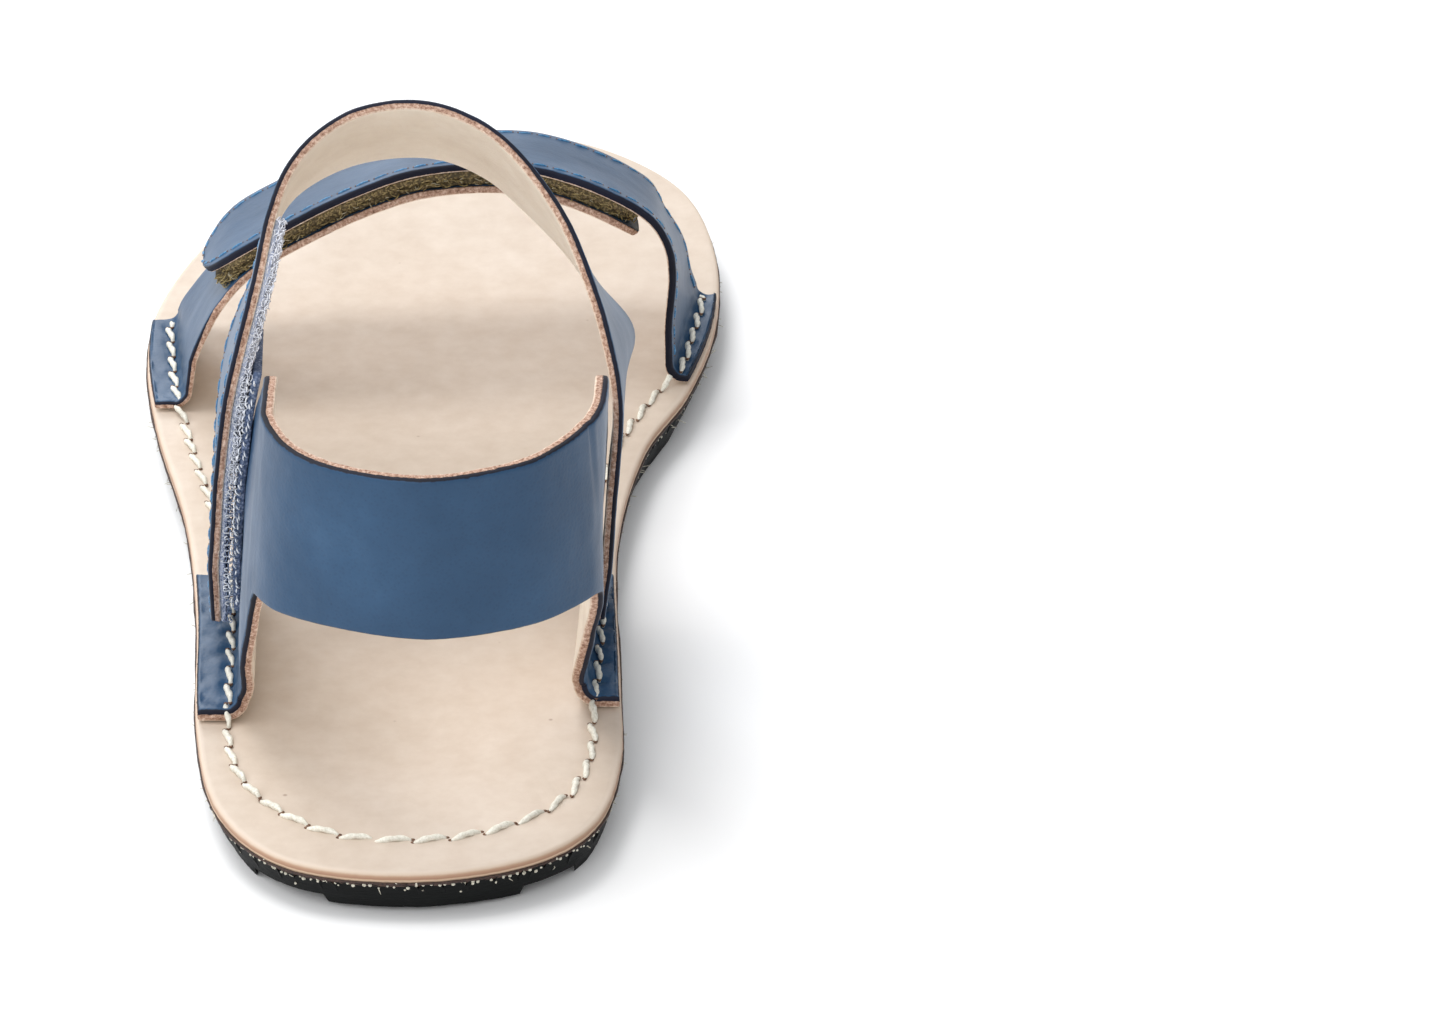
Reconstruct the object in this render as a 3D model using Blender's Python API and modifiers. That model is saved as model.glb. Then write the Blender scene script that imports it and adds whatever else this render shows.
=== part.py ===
"""Left foot's strap sandal: tyre-rubber outsole, leather footbed, and an upper of four leather straps.

Metres. X runs to the inner (medial) side of the foot, Y to the toes, Z up from the floor.
Every piece is drawn above a flat footbed and then raised with the toe spring, and at the end
the whole sandal is moved so that the middle of its box stands on the origin.
"""

import bmesh
import bpy
import numpy as np

# Overall sizes
SOLE_LENGTH = 0.266
BALL_WIDTH = 0.1045
TOE_SPRING = 0.005
HEEL_HEIGHT = 0.066
INSTEP_HEIGHT = 0.092
FRONT_HEIGHT = 0.0455

# Sole
OUTSOLE_THICK = 0.0058
FOOTBED_THICK = 0.0026
GROOVE_DEPTH = 0.0023
GROOVE_FLARE = 0.0008
NOTCH_WIDTH = 0.010
UNDERCUT = 0.0022
WAIST_RISE = 0.0014
HEEL_CUP_DEPTH = 0.0012
HEEL_CUP_RADIUS = 0.027
HEEL_ROCKER = 0.0010
TREAD_CROWN = 0.0012
EDGE_ROUND = 0.0005

# Length of the flat faces that bent pieces are made of
FACET = 0.0058
SOLE_FACET = 0.0100

# Straps
LEATHER = 0.0019
HEEL_LEATHER = 0.0023
INSTEP_WIDTH = 0.030
FRONT_WIDTH = 0.033
FRONT_LOOP_TAPE = 0.0010
FRONT_HOOK_TAPE = 0.0006
INSTEP_LOOP_TAPE = 0.0016
INSTEP_HOOK_TAPE = 0.0011
GAP = 0.0003
BEND_RADIUS = 0.0020
FLANGE_MARGIN = 0.0004
STRAP_CORNER = 0.0025
TAB_CORNER = 0.0130
TAPE_INSET = 0.0006
TAPE_CORNER = 0.0080
LOOP_TAPE_REACH = 0.067
HOOK_TAPE_REACH = 0.046
TAPE_START = 0.0030

FRONT_TAPES = FRONT_HOOK_TAPE + FRONT_LOOP_TAPE + 3 * GAP
INSTEP_TAPES = INSTEP_HOOK_TAPE + INSTEP_LOOP_TAPE + 3 * GAP
FOOTBED_TOP = OUTSOLE_THICK + GAP + FOOTBED_THICK
FLANGE_TOP = GAP + LEATHER
HEEL_FLANGE_TOP = GAP + HEEL_LEATHER

# The sole's outline, anticlockwise from the back of the heel: across / ball width, along / length
OUTLINE = (
    (0.014, 0.000), (0.191, 0.017), (0.297, 0.060), (0.335, 0.135), (0.331, 0.233), (0.319, 0.406),
    (0.359, 0.538), (0.435, 0.628), (0.482, 0.729), (0.480, 0.835), (0.416, 0.923), (0.258, 0.981),
    (0.067, 1.000), (-0.134, 0.983), (-0.306, 0.932), (-0.435, 0.850), (-0.507, 0.756),
    (-0.513, 0.669), (-0.474, 0.564), (-0.402, 0.436), (-0.362, 0.308), (-0.338, 0.173),
    (-0.287, 0.075), (-0.172, 0.016),
)

# Long tread grooves: middle across / ball width, width / ball width
GROOVES = ((-0.180, 0.130), (0.235, 0.095))
# Notches across the outer ribs: side, middle along / length
NOTCHES = ((1, 0.630), (1, 0.800), (-1, 0.560), (-1, 0.730))

# Outer face of the two legs: height / heel height, then across / ball width at 0.24 of the length
# and slope across per unit along, for the outer (lateral) and the inner (medial) side of the foot
LEG_WALL = (
    (0.045, -0.285, -0.073, 0.286, -0.020),
    (0.075, -0.280, -0.035, 0.281, 0.030),
    (0.125, -0.272, -0.045, 0.284, 0.040),
    (0.300, -0.272, -0.045, 0.299, 0.012),
    (0.550, -0.258, -0.045, 0.309, 0.012),
    (0.750, -0.239, -0.045, 0.315, 0.012),
    (0.910, -0.220, -0.025, 0.321, 0.012),
    (1.000, -0.213, -0.015, 0.323, 0.012),
)
LEG_REFERENCE = 0.240

# Where the flanges start, along / length
LEG_START = 0.352
# Front edge of a leg from the sole up: share of the flange's length, along at the top / length,
# top / heel height
LEG_FRONT = (
    (0.000, 0.347, 0.140), (0.120, 0.324, 0.310), (0.257, 0.297, 0.490), (0.393, 0.270, 0.640),
    (0.541, 0.243, 0.765), (0.694, 0.217, 0.865), (0.847, 0.196, 0.935), (1.000, 0.180, 0.975),
)
# Back edge of a leg from the sole up to the heel band:
# along at the bottom / length, outer then inner leg, bottom / heel height, along at the top /
# length, top / heel height
LEG_BACK = (
    (0.178, 0.195, 0.071, 0.180, 0.975), (0.168, 0.184, 0.105, 0.168, 0.993),
    (0.155, 0.170, 0.175, 0.155, 1.000), (0.141, 0.154, 0.265, 0.141, 1.000),
    (0.128, 0.138, 0.365, 0.127, 1.000), (0.116, 0.121, 0.460, 0.115, 1.000),
    (0.106, 0.108, 0.530, 0.104, 1.000),
)
# The heel band from the outer to the inner side: across and along at its bottom edge, bottom
# edge / heel height, across and along at its top edge
HEEL_BAND = (
    (-0.236, 0.122, 0.500, -0.209, 0.122), (-0.228, 0.105, 0.535, -0.198, 0.104),
    (-0.194, 0.078, 0.552, -0.172, 0.081), (-0.143, 0.060, 0.561, -0.134, 0.062),
    (-0.077, 0.046, 0.566, -0.075, 0.046), (0.000, 0.036, 0.567, 0.000, 0.036),
    (0.067, 0.034, 0.567, 0.067, 0.034), (0.151, 0.043, 0.565, 0.150, 0.044),
    (0.222, 0.058, 0.562, 0.218, 0.060), (0.277, 0.080, 0.558, 0.266, 0.084),
    (0.312, 0.105, 0.545, 0.300, 0.110), (0.319, 0.130, 0.520, 0.312, 0.135),
)
BAND_START = 0.100
BAND_FULL = 0.150

# Face of the foot that the instep strap goes round, from the outer to the inner side: across at
# the strap's back and front edge / ball width, along / length, height / instep height, and how
# far the strap's width leans down, in degrees
INSTEP = (
    (-0.271, -0.283, 0.246, 0.087, 2), (-0.272, -0.284, 0.237, 0.239, 2),
    (-0.260, -0.272, 0.234, 0.391, 4), (-0.241, -0.256, 0.239, 0.533, 8),
    (-0.219, -0.236, 0.252, 0.636, 15), (-0.194, -0.214, 0.273, 0.734, 25),
    (-0.172, -0.198, 0.301, 0.830, 33), (-0.138, -0.165, 0.325, 0.897, 38),
    (-0.071, -0.085, 0.342, 0.946, 40.5), (0.019, 0.019, 0.347, 0.962, 41),
    (0.110, 0.103, 0.340, 0.940, 40.5), (0.178, 0.168, 0.327, 0.887, 38.5),
    (0.235, 0.229, 0.305, 0.815, 34), (0.278, 0.283, 0.278, 0.720, 27),
    (0.306, 0.333, 0.258, 0.620, 19), (0.321, 0.320, 0.242, 0.511, 11),
    (0.317, 0.316, 0.235, 0.370, 4), (0.304, 0.303, 0.238, 0.217, 2),
    (0.290, 0.289, 0.244, 0.098, 2),
)
# Below the first of these shares of the heel height the instep strap lies on the leg
ON_LEG = 0.45
OFF_LEG = 0.90

# Outer face of the front over strap, carried down to the sole on both sides: the same columns,
# with heights / front height
FRONT = (
    (-0.478, -0.519, 0.592, 0.103, 0), (-0.473, -0.507, 0.592, 0.209, 4),
    (-0.450, -0.480, 0.594, 0.352, 8), (-0.407, -0.426, 0.598, 0.527, 10),
    (-0.344, -0.364, 0.603, 0.670, 10), (-0.249, -0.258, 0.610, 0.791, 10),
    (-0.144, -0.144, 0.616, 0.905, 12), (-0.038, -0.029, 0.621, 0.985, 14),
    (0.077, 0.091, 0.627, 1.002, 15), (0.182, 0.187, 0.632, 0.967, 15),
    (0.287, 0.287, 0.636, 0.870, 15), (0.368, 0.364, 0.639, 0.747, 15),
    (0.406, 0.392, 0.639, 0.615, 14), (0.415, 0.426, 0.638, 0.462, 13),
    (0.408, 0.439, 0.635, 0.264, 8), (0.408, 0.448, 0.633, 0.103, 0),
)
# Ends along the front arch, as shares of its length from the outer side
TAB_END = 0.150
UNDER_END = 0.830
FRONT_LOOP_START = 0.135
FRONT_HOOK_START = 0.170
FRONT_TAPE_END = 0.805
# How far the under strap and its tape lie forward of the over strap
UNDER_FORWARD = 0.0035

COLOURS = {
    "rubber": ((0.018, 0.020, 0.020), 0.75),
    "natural_leather": ((0.780, 0.640, 0.500), 0.60),
    "blue_leather": ((0.052, 0.098, 0.195), 0.42),
    "blue_loop": ((0.330, 0.400, 0.580), 0.95),
    "blue_hook": ((0.420, 0.470, 0.600), 0.70),
    "olive_loop": ((0.190, 0.140, 0.060), 0.95),
    "olive_hook": ((0.230, 0.180, 0.090), 0.70),
}


def clear_scene():
    for thing in list(bpy.data.objects):
        bpy.data.objects.remove(thing, do_unlink=True)


def material(name):
    made = bpy.data.materials.get(name)
    if made is None:
        colour, roughness = COLOURS[name]
        made = bpy.data.materials.new(name)
        made.use_nodes = True
        shader = made.node_tree.nodes["Principled BSDF"]
        shader.inputs["Base Color"].default_value = (*colour, 1.0)
        shader.inputs["Roughness"].default_value = roughness
        shader.inputs["Metallic"].default_value = 0.0
        made.diffuse_color = (*colour, 1.0)
    return made


def spline(rows, steps, closed=False):
    """Smooth rows through the given ones, each interval cut into this many steps."""
    rows = np.array(rows, float)
    if closed:
        rows = np.vstack([rows[-1], rows, rows[:2]])
    else:
        rows = np.vstack([2 * rows[0] - rows[1], rows, 2 * rows[-1] - rows[-2]])
    t = (np.arange(steps) / steps)[:, None]
    found = []
    for a, b, c, d in zip(rows, rows[1:], rows[2:], rows[3:]):
        found.append(
            0.5 * (2 * b + (c - a) * t + (2 * a - 5 * b + 4 * c - d) * t**2 + (3 * b - a - 3 * c + d) * t**3)
        )
    if not closed:
        found.append(rows[-2:-1])
    return np.vstack(found)


def smooth_step(value, low, high):
    t = np.clip((value - low) / (high - low), 0.0, 1.0)
    return t * t * (3 - 2 * t)


def outline():
    return spline(OUTLINE, 5, closed=True) * (BALL_WIDTH, SOLE_LENGTH)


def edge_across(side, along):
    """How far across the sole's edge lies, on the inner (1) or the outer (-1) side."""
    loop = outline()
    half = loop[side * (loop[:, 0] - 0.014 * BALL_WIDTH) > 0]
    half = half[np.argsort(half[:, 1])]
    return np.interp(along, half[:, 1], half[:, 0])


def wall_across(side, along, height):
    """Outer face of a leg."""
    rows = np.array(LEG_WALL)
    columns = (1, 2) if side < 0 else (3, 4)
    share = height / HEEL_HEIGHT
    across, slope = (np.interp(share, rows[:, 0], rows[:, column]) for column in columns)
    return across * BALL_WIDTH + slope * (along - LEG_REFERENCE * SOLE_LENGTH)


def toe_lift(along):
    start = 0.69 * SOLE_LENGTH
    return TOE_SPRING * np.clip((along - start) / (SOLE_LENGTH - start), 0, 1.2) ** 2


def heel_cup(across, along):
    middle = (0.0, 0.165 * SOLE_LENGTH)
    far = np.hypot(across - middle[0], along - middle[1]) / HEEL_CUP_RADIUS
    return HEEL_CUP_DEPTH * (1 - smooth_step(far, 0.0, 1.0))


def add_object(name, mesh, material_name, collection):
    made = bpy.data.objects.new(name, mesh)
    mesh.materials.append(material(material_name))
    collection.objects.link(made)
    return made


def evaluated_copy(obj):
    graph = bpy.context.evaluated_depsgraph_get()
    return bpy.data.meshes.new_from_object(obj.evaluated_get(graph))


def slab(name, bottom, top, material_name, collection):
    """The sole's outline with a flat top and bottom."""
    shape = bmesh.new()
    ring = [shape.verts.new((x, y, bottom)) for x, y in outline()]
    face = shape.faces.new(ring)
    raised = bmesh.ops.extrude_face_region(shape, geom=[face])["geom"]
    upper = [item for item in raised if isinstance(item, bmesh.types.BMVert)]
    bmesh.ops.translate(shape, verts=upper, vec=(0, 0, top - bottom))
    bmesh.ops.recalc_face_normals(shape, faces=shape.faces)
    mesh = bpy.data.meshes.new(name)
    shape.to_mesh(mesh)
    shape.free()
    return add_object(name, mesh, material_name, collection)


def slice_for_bending(mesh):
    """Cuts across and along the mesh, so that its flat faces can bend."""
    shape = bmesh.new()
    shape.from_mesh(mesh)
    low = np.min([v.co for v in shape.verts], axis=0)
    high = np.max([v.co for v in shape.verts], axis=0)
    for axis in (0, 1):
        normal = [0.0, 0.0, 0.0]
        normal[axis] = 1.0
        first, last = low[axis] + 0.6 * SOLE_FACET, high[axis] - 0.4 * SOLE_FACET
        for place in np.arange(first, last, SOLE_FACET):
            point = [0.0, 0.0, 0.0]
            point[axis] = place
            geom = shape.verts[:] + shape.edges[:] + shape.faces[:]
            bmesh.ops.bisect_plane(shape, geom=geom, plane_co=point, plane_no=normal, dist=1e-5)
    bmesh.ops.remove_doubles(shape, verts=shape.verts, dist=2e-5)
    bmesh.ops.triangulate(shape, faces=shape.faces)
    shape.to_mesh(mesh)
    shape.free()


def bend_footbed(co):
    x, y, z = co
    return x, y, z + FOOTBED_TOP + toe_lift(y) - heel_cup(x, y)


def bend_outsole(co):
    """Raises the toe, hollows the top, lifts the waist and rounds the tread's edges up."""
    x, y, z = co
    depth = np.clip(-z / OUTSOLE_THICK, 0, 1)
    middle = 0.043 * BALL_WIDTH
    narrow = 1 - depth * UNDERCUT / (0.35 * BALL_WIDTH)
    shorter = 1 - depth * UNDERCUT / (0.45 * SOLE_LENGTH)
    waist = WAIST_RISE * smooth_step(y, 0.27 * SOLE_LENGTH, 0.38 * SOLE_LENGTH)
    waist *= 1 - smooth_step(y, 0.46 * SOLE_LENGTH, 0.56 * SOLE_LENGTH)
    rocker = HEEL_ROCKER * (1 - smooth_step(y, 0.0, 0.05 * SOLE_LENGTH))
    crown = TREAD_CROWN * smooth_step(abs(x - middle), 0.22 * BALL_WIDTH, 0.52 * BALL_WIDTH)
    rise = depth * (waist + rocker + crown) - (1 - depth) * heel_cup(x, y)
    x = middle + (x - middle) * narrow
    y = 0.5 * SOLE_LENGTH + (y - 0.5 * SOLE_LENGTH) * shorter
    return x, y, z + OUTSOLE_THICK + toe_lift(y) + rise


def bend(mesh, rule):
    for vertex in mesh.vertices:
        vertex.co = rule(vertex.co)
    mesh.update()


def groove_cutter(name, centre, size, cutters):
    """A long wedge-sided block, wider at the tread than at the groove's floor."""
    shape = bmesh.new()
    bmesh.ops.create_cube(shape, size=1.0)
    bmesh.ops.scale(shape, verts=shape.verts, vec=size)
    for vertex in shape.verts:
        if vertex.co.z > 0:
            vertex.co.x -= np.sign(vertex.co.x) * GROOVE_FLARE
            vertex.co.y -= np.sign(vertex.co.y) * GROOVE_FLARE
    bmesh.ops.translate(shape, verts=shape.verts, vec=centre)
    mesh = bpy.data.meshes.new(name)
    shape.to_mesh(mesh)
    shape.free()
    cutter = bpy.data.objects.new(name, mesh)
    cutter.hide_render = True
    cutter.display_type = "WIRE"
    cutters.objects.link(cutter)
    return cutter


def cut(obj, cutter):
    modifier = obj.modifiers.new(cutter.name, "BOOLEAN")
    modifier.operation = "DIFFERENCE"
    modifier.solver = "EXACT"
    modifier.object = cutter


def make_outsole(parts, cutters):
    obj = slab("outsole", -OUTSOLE_THICK, 0.0, "rubber", parts)
    height, low = 2 * GROOVE_DEPTH, -OUTSOLE_THICK
    for number, (across, width) in enumerate(GROOVES):
        centre = (across * BALL_WIDTH, 0.5 * SOLE_LENGTH, low)
        size = (width * BALL_WIDTH, 1.2 * SOLE_LENGTH, height)
        cut(obj, groove_cutter(f"groove_{number}", centre, size, cutters))
    for number, (side, along) in enumerate(NOTCHES):
        inner = GROOVES[0][0] * BALL_WIDTH if side < 0 else GROOVES[1][0] * BALL_WIDTH
        reach = 0.5 * BALL_WIDTH
        centre = (inner + side * reach / 2, along * SOLE_LENGTH, low)
        cut(obj, groove_cutter(f"notch_{number}", centre, (reach, NOTCH_WIDTH, height), cutters))
    bpy.context.view_layer.update()
    mesh = evaluated_copy(obj)
    obj.modifiers.clear()
    obj.data = mesh
    slice_for_bending(mesh)
    bend(mesh, bend_outsole)


def make_footbed(parts):
    obj = slab("footbed", -FOOTBED_THICK, 0.0, "natural_leather", parts)
    bevel = obj.modifiers.new("edge", "BEVEL")
    bevel.width = EDGE_ROUND
    bevel.segments = 2
    bevel.limit_method = "ANGLE"
    bevel.angle_limit = np.radians(50)
    bpy.context.view_layer.update()
    mesh = evaluated_copy(obj)
    obj.modifiers.clear()
    obj.data = mesh
    slice_for_bending(mesh)
    bend(mesh, bend_footbed)


def lifted(points):
    """Points drawn above a flat footbed, raised to the real one."""
    points = np.array(points, float)
    points[..., 2] += FOOTBED_TOP + toe_lift(points[..., 1])
    return points


def arch(rows, width, height):
    """Grid of a strap's face, a row for each place along it and a column at each edge."""
    dense = spline(rows, 12)
    lean = np.radians(dense[:, 4])
    back = np.stack([dense[:, 0] * BALL_WIDTH, dense[:, 2] * SOLE_LENGTH, dense[:, 3] * height], 1)
    front = np.stack(
        [
            dense[:, 1] * BALL_WIDTH,
            back[:, 1] + width * np.cos(lean),
            back[:, 2] - width * np.sin(lean),
        ],
        1,
    )
    share = np.linspace(0, 1, 4)[None, :, None]
    return back[:, None] * (1 - share) + front[:, None] * share


def laid_on_legs(grid):
    """The lower ends of a strap's grid moved onto the outer faces of the legs."""
    grid = grid.copy()
    side = np.where(np.arange(len(grid)) < len(grid) / 2, -1, 1)
    for row, inward in zip(grid, side):
        back_height = row[0, 2] / HEEL_HEIGHT
        free = smooth_step(back_height, ON_LEG, OFF_LEG)
        height = np.minimum(row[:, 2], HEEL_HEIGHT)
        on_leg = wall_across(inward, row[:, 1], height)
        row[:, 0] = row[:, 0] * free + on_leg * (1 - free)
    return grid


def outward(grid):
    """Unit normals of a grid, on its outer side."""
    along = np.gradient(grid, axis=0)
    across = np.gradient(grid, axis=1)
    normal = np.cross(along, across)
    normal /= np.linalg.norm(normal, axis=2, keepdims=True)
    middle = grid.mean(axis=(0, 1)) * (1, 1, 0.3)
    turn = np.sign(np.sum((grid - middle) * normal))
    return normal * turn


def lengths_along(grid):
    middle = grid.mean(axis=1)
    steps = np.linalg.norm(np.diff(middle, axis=0), axis=1)
    return np.concatenate([[0], np.cumsum(steps)])


def part_of(grid, start, end, round_start=0.0, round_end=0.0, inset=0.0, forward=0.0):
    """The stretch of a grid between two lengths along it, with rounded corners at its ends.

    It lies forward of the grid's edges by the last value, from 0 at its start.
    """
    length = lengths_along(grid)
    places = np.linspace(start, end, int(round((end - start) / FACET)) + 1)
    for radius, origin, way in ((round_start, start, 1), (round_end, end, -1)):
        if radius:
            near = origin + way * radius * (1 - np.cos(np.linspace(0, np.pi / 2, 6)))
            places = places[np.abs(places - origin) > radius * 1.1]
            places = np.sort(np.concatenate([places, near]))
    width = np.linalg.norm(grid[:, -1] - grid[:, 0], axis=1).mean()
    found = []
    for place in places:
        cut_in = inset
        for radius, origin in ((round_start, start), (round_end, end)):
            gone = radius - abs(place - origin)
            if radius and gone > 0:
                cut_in += radius - np.sqrt(max(radius**2 - gone**2, 0.0))
        row = [[np.interp(place, length, grid[:, k, axis]) for axis in range(3)] for k in (0, -1)]
        back, front = np.array(row)
        ahead = forward * smooth_step(place, 0.0, 0.3 * length[-1])
        share = np.linspace(cut_in + ahead, width - cut_in + ahead, 4)[:, None] / width
        found.append(back * (1 - share) + front * share)
    return np.array(found)


def sheet(name, faces, thickness, material_name, collection):
    """A leather or tape sheet: its outer face as quads of points, and its thickness behind it."""
    shape = bmesh.new()
    made = {}
    for quad in faces:
        ring = []
        for point in quad:
            key = tuple(np.round(point, 7))
            if key not in made:
                made[key] = shape.verts.new(point)
            if made[key] not in ring:
                ring.append(made[key])
        if len(ring) > 2:
            shape.faces.new(ring)
    mesh = bpy.data.meshes.new(name)
    shape.to_mesh(mesh)
    shape.free()
    obj = add_object(name, mesh, material_name, collection)
    solid = obj.modifiers.new("thickness", "SOLIDIFY")
    solid.thickness = thickness
    solid.offset = -1.0
    solid.use_even_offset = True
    return obj


def quads(grid, flip=False):
    """The faces of a grid, facing outwards."""
    faces = []
    for a, b in zip(grid[:-1], grid[1:]):
        for k in range(len(a) - 1):
            quad = [a[k], a[k + 1], b[k + 1], b[k]]
            faces.append(quad[::-1] if flip else quad)
    return faces


def flange(side, foot, top):
    """From the sole's edge over the turned-out flange and round its bend to the foot of a wall."""
    across, along, _ = foot
    edge = edge_across(side, along) - side * FLANGE_MARGIN
    bend_start = across + side * BEND_RADIUS
    found = [(edge, along, top), ((edge + bend_start) / 2, along, top)]
    for angle in np.radians((0, 30, 60)):
        turn = BEND_RADIUS * np.sin(angle)
        rise = BEND_RADIUS * (1 - np.cos(angle))
        found.append((bend_start - side * turn, along, top + rise))
    return np.array(found)


def leg_foot(side, along):
    height = HEEL_FLANGE_TOP + BEND_RADIUS
    return np.array([wall_across(side, along, height), along, height])


def leg_rows(side):
    """Bottom and top points of a leg, from its front edge to the heel band."""
    rows = []
    back = LEG_BACK[0][0 if side < 0 else 1]
    for foot, top_along, top in spline(LEG_FRONT, 2)[:-1]:
        bottom = leg_foot(side, (LEG_START + (back - LEG_START) * foot) * SOLE_LENGTH)
        rows.append((bottom, top_along * SOLE_LENGTH, top * HEEL_HEIGHT, True))
    for place, (outer, inner, low, top_along, top) in enumerate(spline(LEG_BACK, 2)):
        along, height = (outer if side < 0 else inner) * SOLE_LENGTH, low * HEEL_HEIGHT
        bottom = leg_foot(side, along) if place == 0 else np.array([0, along, height])
        rows.append((bottom, top_along * SOLE_LENGTH, top * HEEL_HEIGHT, place == 0))
    return rows


def band_across(side, along, height):
    """The band's face beside the heel, where the legs run into it."""
    rows = np.array(HEEL_BAND)
    half = rows[: len(rows) // 2] if side < 0 else rows[len(rows) // 2 :]
    half = half[np.argsort(half[:, 1])]
    low = np.interp(along, half[:, 1] * SOLE_LENGTH, half[:, 0])
    high = np.interp(along, half[:, 4] * SOLE_LENGTH, half[:, 3])
    share = np.clip((height / HEEL_HEIGHT - 0.5) / 0.5, 0, 1)
    return (low * (1 - share) + high * share) * BALL_WIDTH


def leg_grid(side):
    share = np.linspace(0, 1, 6)
    found = []
    for bottom, top_along, top, flanged in leg_rows(side):
        along = bottom[1] * (1 - share) + top_along * share
        height = bottom[2] * (1 - share) + top * share
        on_wall = smooth_step(along, BAND_START * SOLE_LENGTH, BAND_FULL * SOLE_LENGTH)
        across = wall_across(side, along, height) * on_wall
        across += band_across(side, along, height) * (1 - on_wall)
        found.append((np.stack([across, along, height], 1), flanged))
    return found


def band_grid():
    share = np.linspace(0, 1, 6)[:, None]
    found = []
    for low_across, low_along, low, high_across, high_along in spline(HEEL_BAND, 3)[4:-4]:
        bottom = np.array([low_across * BALL_WIDTH, low_along * SOLE_LENGTH, low * HEEL_HEIGHT])
        top = np.array([high_across * BALL_WIDTH, high_along * SOLE_LENGTH, HEEL_HEIGHT])
        found.append(bottom * (1 - share) + top * share)
    return found


def make_heel_strap(parts):
    outer, inner = leg_grid(-1), leg_grid(1)
    walls = [row for row, _ in outer] + band_grid() + [row for row, _ in inner[::-1]]
    faces = quads(lifted(np.array(walls)), flip=True)
    for side, rows in ((-1, outer), (1, inner)):
        walls = [row[0] for row, has_flange in rows if has_flange]
        flanged = [np.vstack([flange(side, foot, HEEL_FLANGE_TOP), foot]) for foot in walls]
        faces += quads(lifted(np.array(flanged)), flip=side < 0)
    sheet("heel_strap", faces, HEEL_LEATHER, "blue_leather", parts)


def instep_faces():
    """Outer faces of the instep strap and of the loop tape behind it, and the hook tape's."""
    foot_side = laid_on_legs(arch(INSTEP, INSTEP_WIDTH, INSTEP_HEIGHT))
    share = np.linspace(0, 1, len(foot_side))[:, None, None]
    without_tapes = smooth_step(share, 0.35, 0.65)
    behind = INSTEP_TAPES * (1 - without_tapes) + GAP * without_tapes
    normal = outward(foot_side)
    strap = foot_side + normal * (LEATHER + behind)
    loop = strap - normal * (LEATHER + GAP)
    hook = foot_side + normal * (GAP + INSTEP_HOOK_TAPE)
    return strap, loop, hook


def make_instep_strap(parts):
    strap, loop, hook = instep_faces()
    total = lengths_along(strap)[-1]
    whole = part_of(strap, 0, total, STRAP_CORNER, STRAP_CORNER)
    sheet("instep_strap", quads(lifted(whole), flip=True), LEATHER, "blue_leather", parts)
    loop_part = part_of(loop, TAPE_INSET, LOOP_TAPE_REACH, inset=TAPE_INSET)
    sheet("instep_loop_tape", quads(lifted(loop_part), flip=True), INSTEP_LOOP_TAPE, "blue_loop", parts)
    hook_part = part_of(hook, TAPE_START, HOOK_TAPE_REACH, inset=TAPE_INSET)
    sheet("instep_hook_tape", quads(lifted(hook_part), flip=True), INSTEP_HOOK_TAPE, "blue_hook", parts)


def with_flange(grid, side):
    """A strap's grid with its flange put before its first row."""
    foot_height = FLANGE_TOP + BEND_RADIUS
    share = (foot_height - grid[0, :, 2]) / (grid[2, :, 2] - grid[0, :, 2])
    foot = grid[0] + (grid[2] - grid[0]) * share[:, None]
    wall = grid[grid[:, :, 2].min(axis=1) > foot_height + 0.5 * BEND_RADIUS]
    edge_rows = [flange(side, point, FLANGE_TOP) for point in foot]
    return np.concatenate([np.stack(edge_rows, 1), foot[None], wall])


def make_front_straps(parts):
    outer = arch(FRONT, FRONT_WIDTH, FRONT_HEIGHT)
    normal = outward(outer)
    under = outer - normal * (LEATHER + FRONT_TAPES)
    loop = outer - normal * (LEATHER + FRONT_TAPES - GAP - FRONT_LOOP_TAPE)
    hook = outer - normal * (LEATHER + GAP)
    total = lengths_along(outer)[-1]
    over = part_of(outer[::-1], 0, (1 - TAB_END) * total, round_end=TAB_CORNER)
    over = with_flange(over, 1)
    sheet("front_over_strap", quads(lifted(over)), LEATHER, "blue_leather", parts)
    under_total = lengths_along(under)[-1]
    below = part_of(under, 0, UNDER_END * under_total, forward=UNDER_FORWARD)
    below = with_flange(below, -1)
    sheet("front_under_strap", quads(lifted(below), flip=True), LEATHER, "blue_leather", parts)
    for name, grid, start, thick, colour, forward in (
        ("front_loop_tape", loop, FRONT_LOOP_START, FRONT_LOOP_TAPE, "olive_loop", UNDER_FORWARD),
        ("front_hook_tape", hook, FRONT_HOOK_START, FRONT_HOOK_TAPE, "olive_hook", 0.0),
    ):
        length = lengths_along(grid)[-1]
        tape = part_of(
            grid, start * length, FRONT_TAPE_END * length, round_start=TAPE_CORNER,
            inset=TAPE_INSET, forward=forward,
        )
        sheet(name, quads(lifted(tape), flip=True), thick, colour, parts)


def centre_on_floor(parts):
    """Moves every piece so that the middle of the sandal's box stands on the origin."""
    bpy.context.view_layer.update()
    graph = bpy.context.evaluated_depsgraph_get()
    corners = []
    for obj in parts.objects:
        mesh = obj.evaluated_get(graph).data
        corners += [tuple(vertex.co) for vertex in mesh.vertices]
    low, high = np.min(corners, axis=0), np.max(corners, axis=0)
    shift = np.array([-(low[0] + high[0]) / 2, -(low[1] + high[1]) / 2, -low[2]])
    for obj in parts.objects:
        for vertex in obj.data.vertices:
            vertex.co = np.array(vertex.co) + shift
        obj.data.update()


def main():
    clear_scene()
    parts = bpy.data.collections.new("strap_sandal")
    cutters = bpy.data.collections.new("tread_cutters")
    for collection in (parts, cutters):
        bpy.context.scene.collection.children.link(collection)
    make_outsole(parts, cutters)
    make_footbed(parts)
    make_heel_strap(parts)
    make_instep_strap(parts)
    make_front_straps(parts)
    centre_on_floor(parts)


main()
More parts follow.
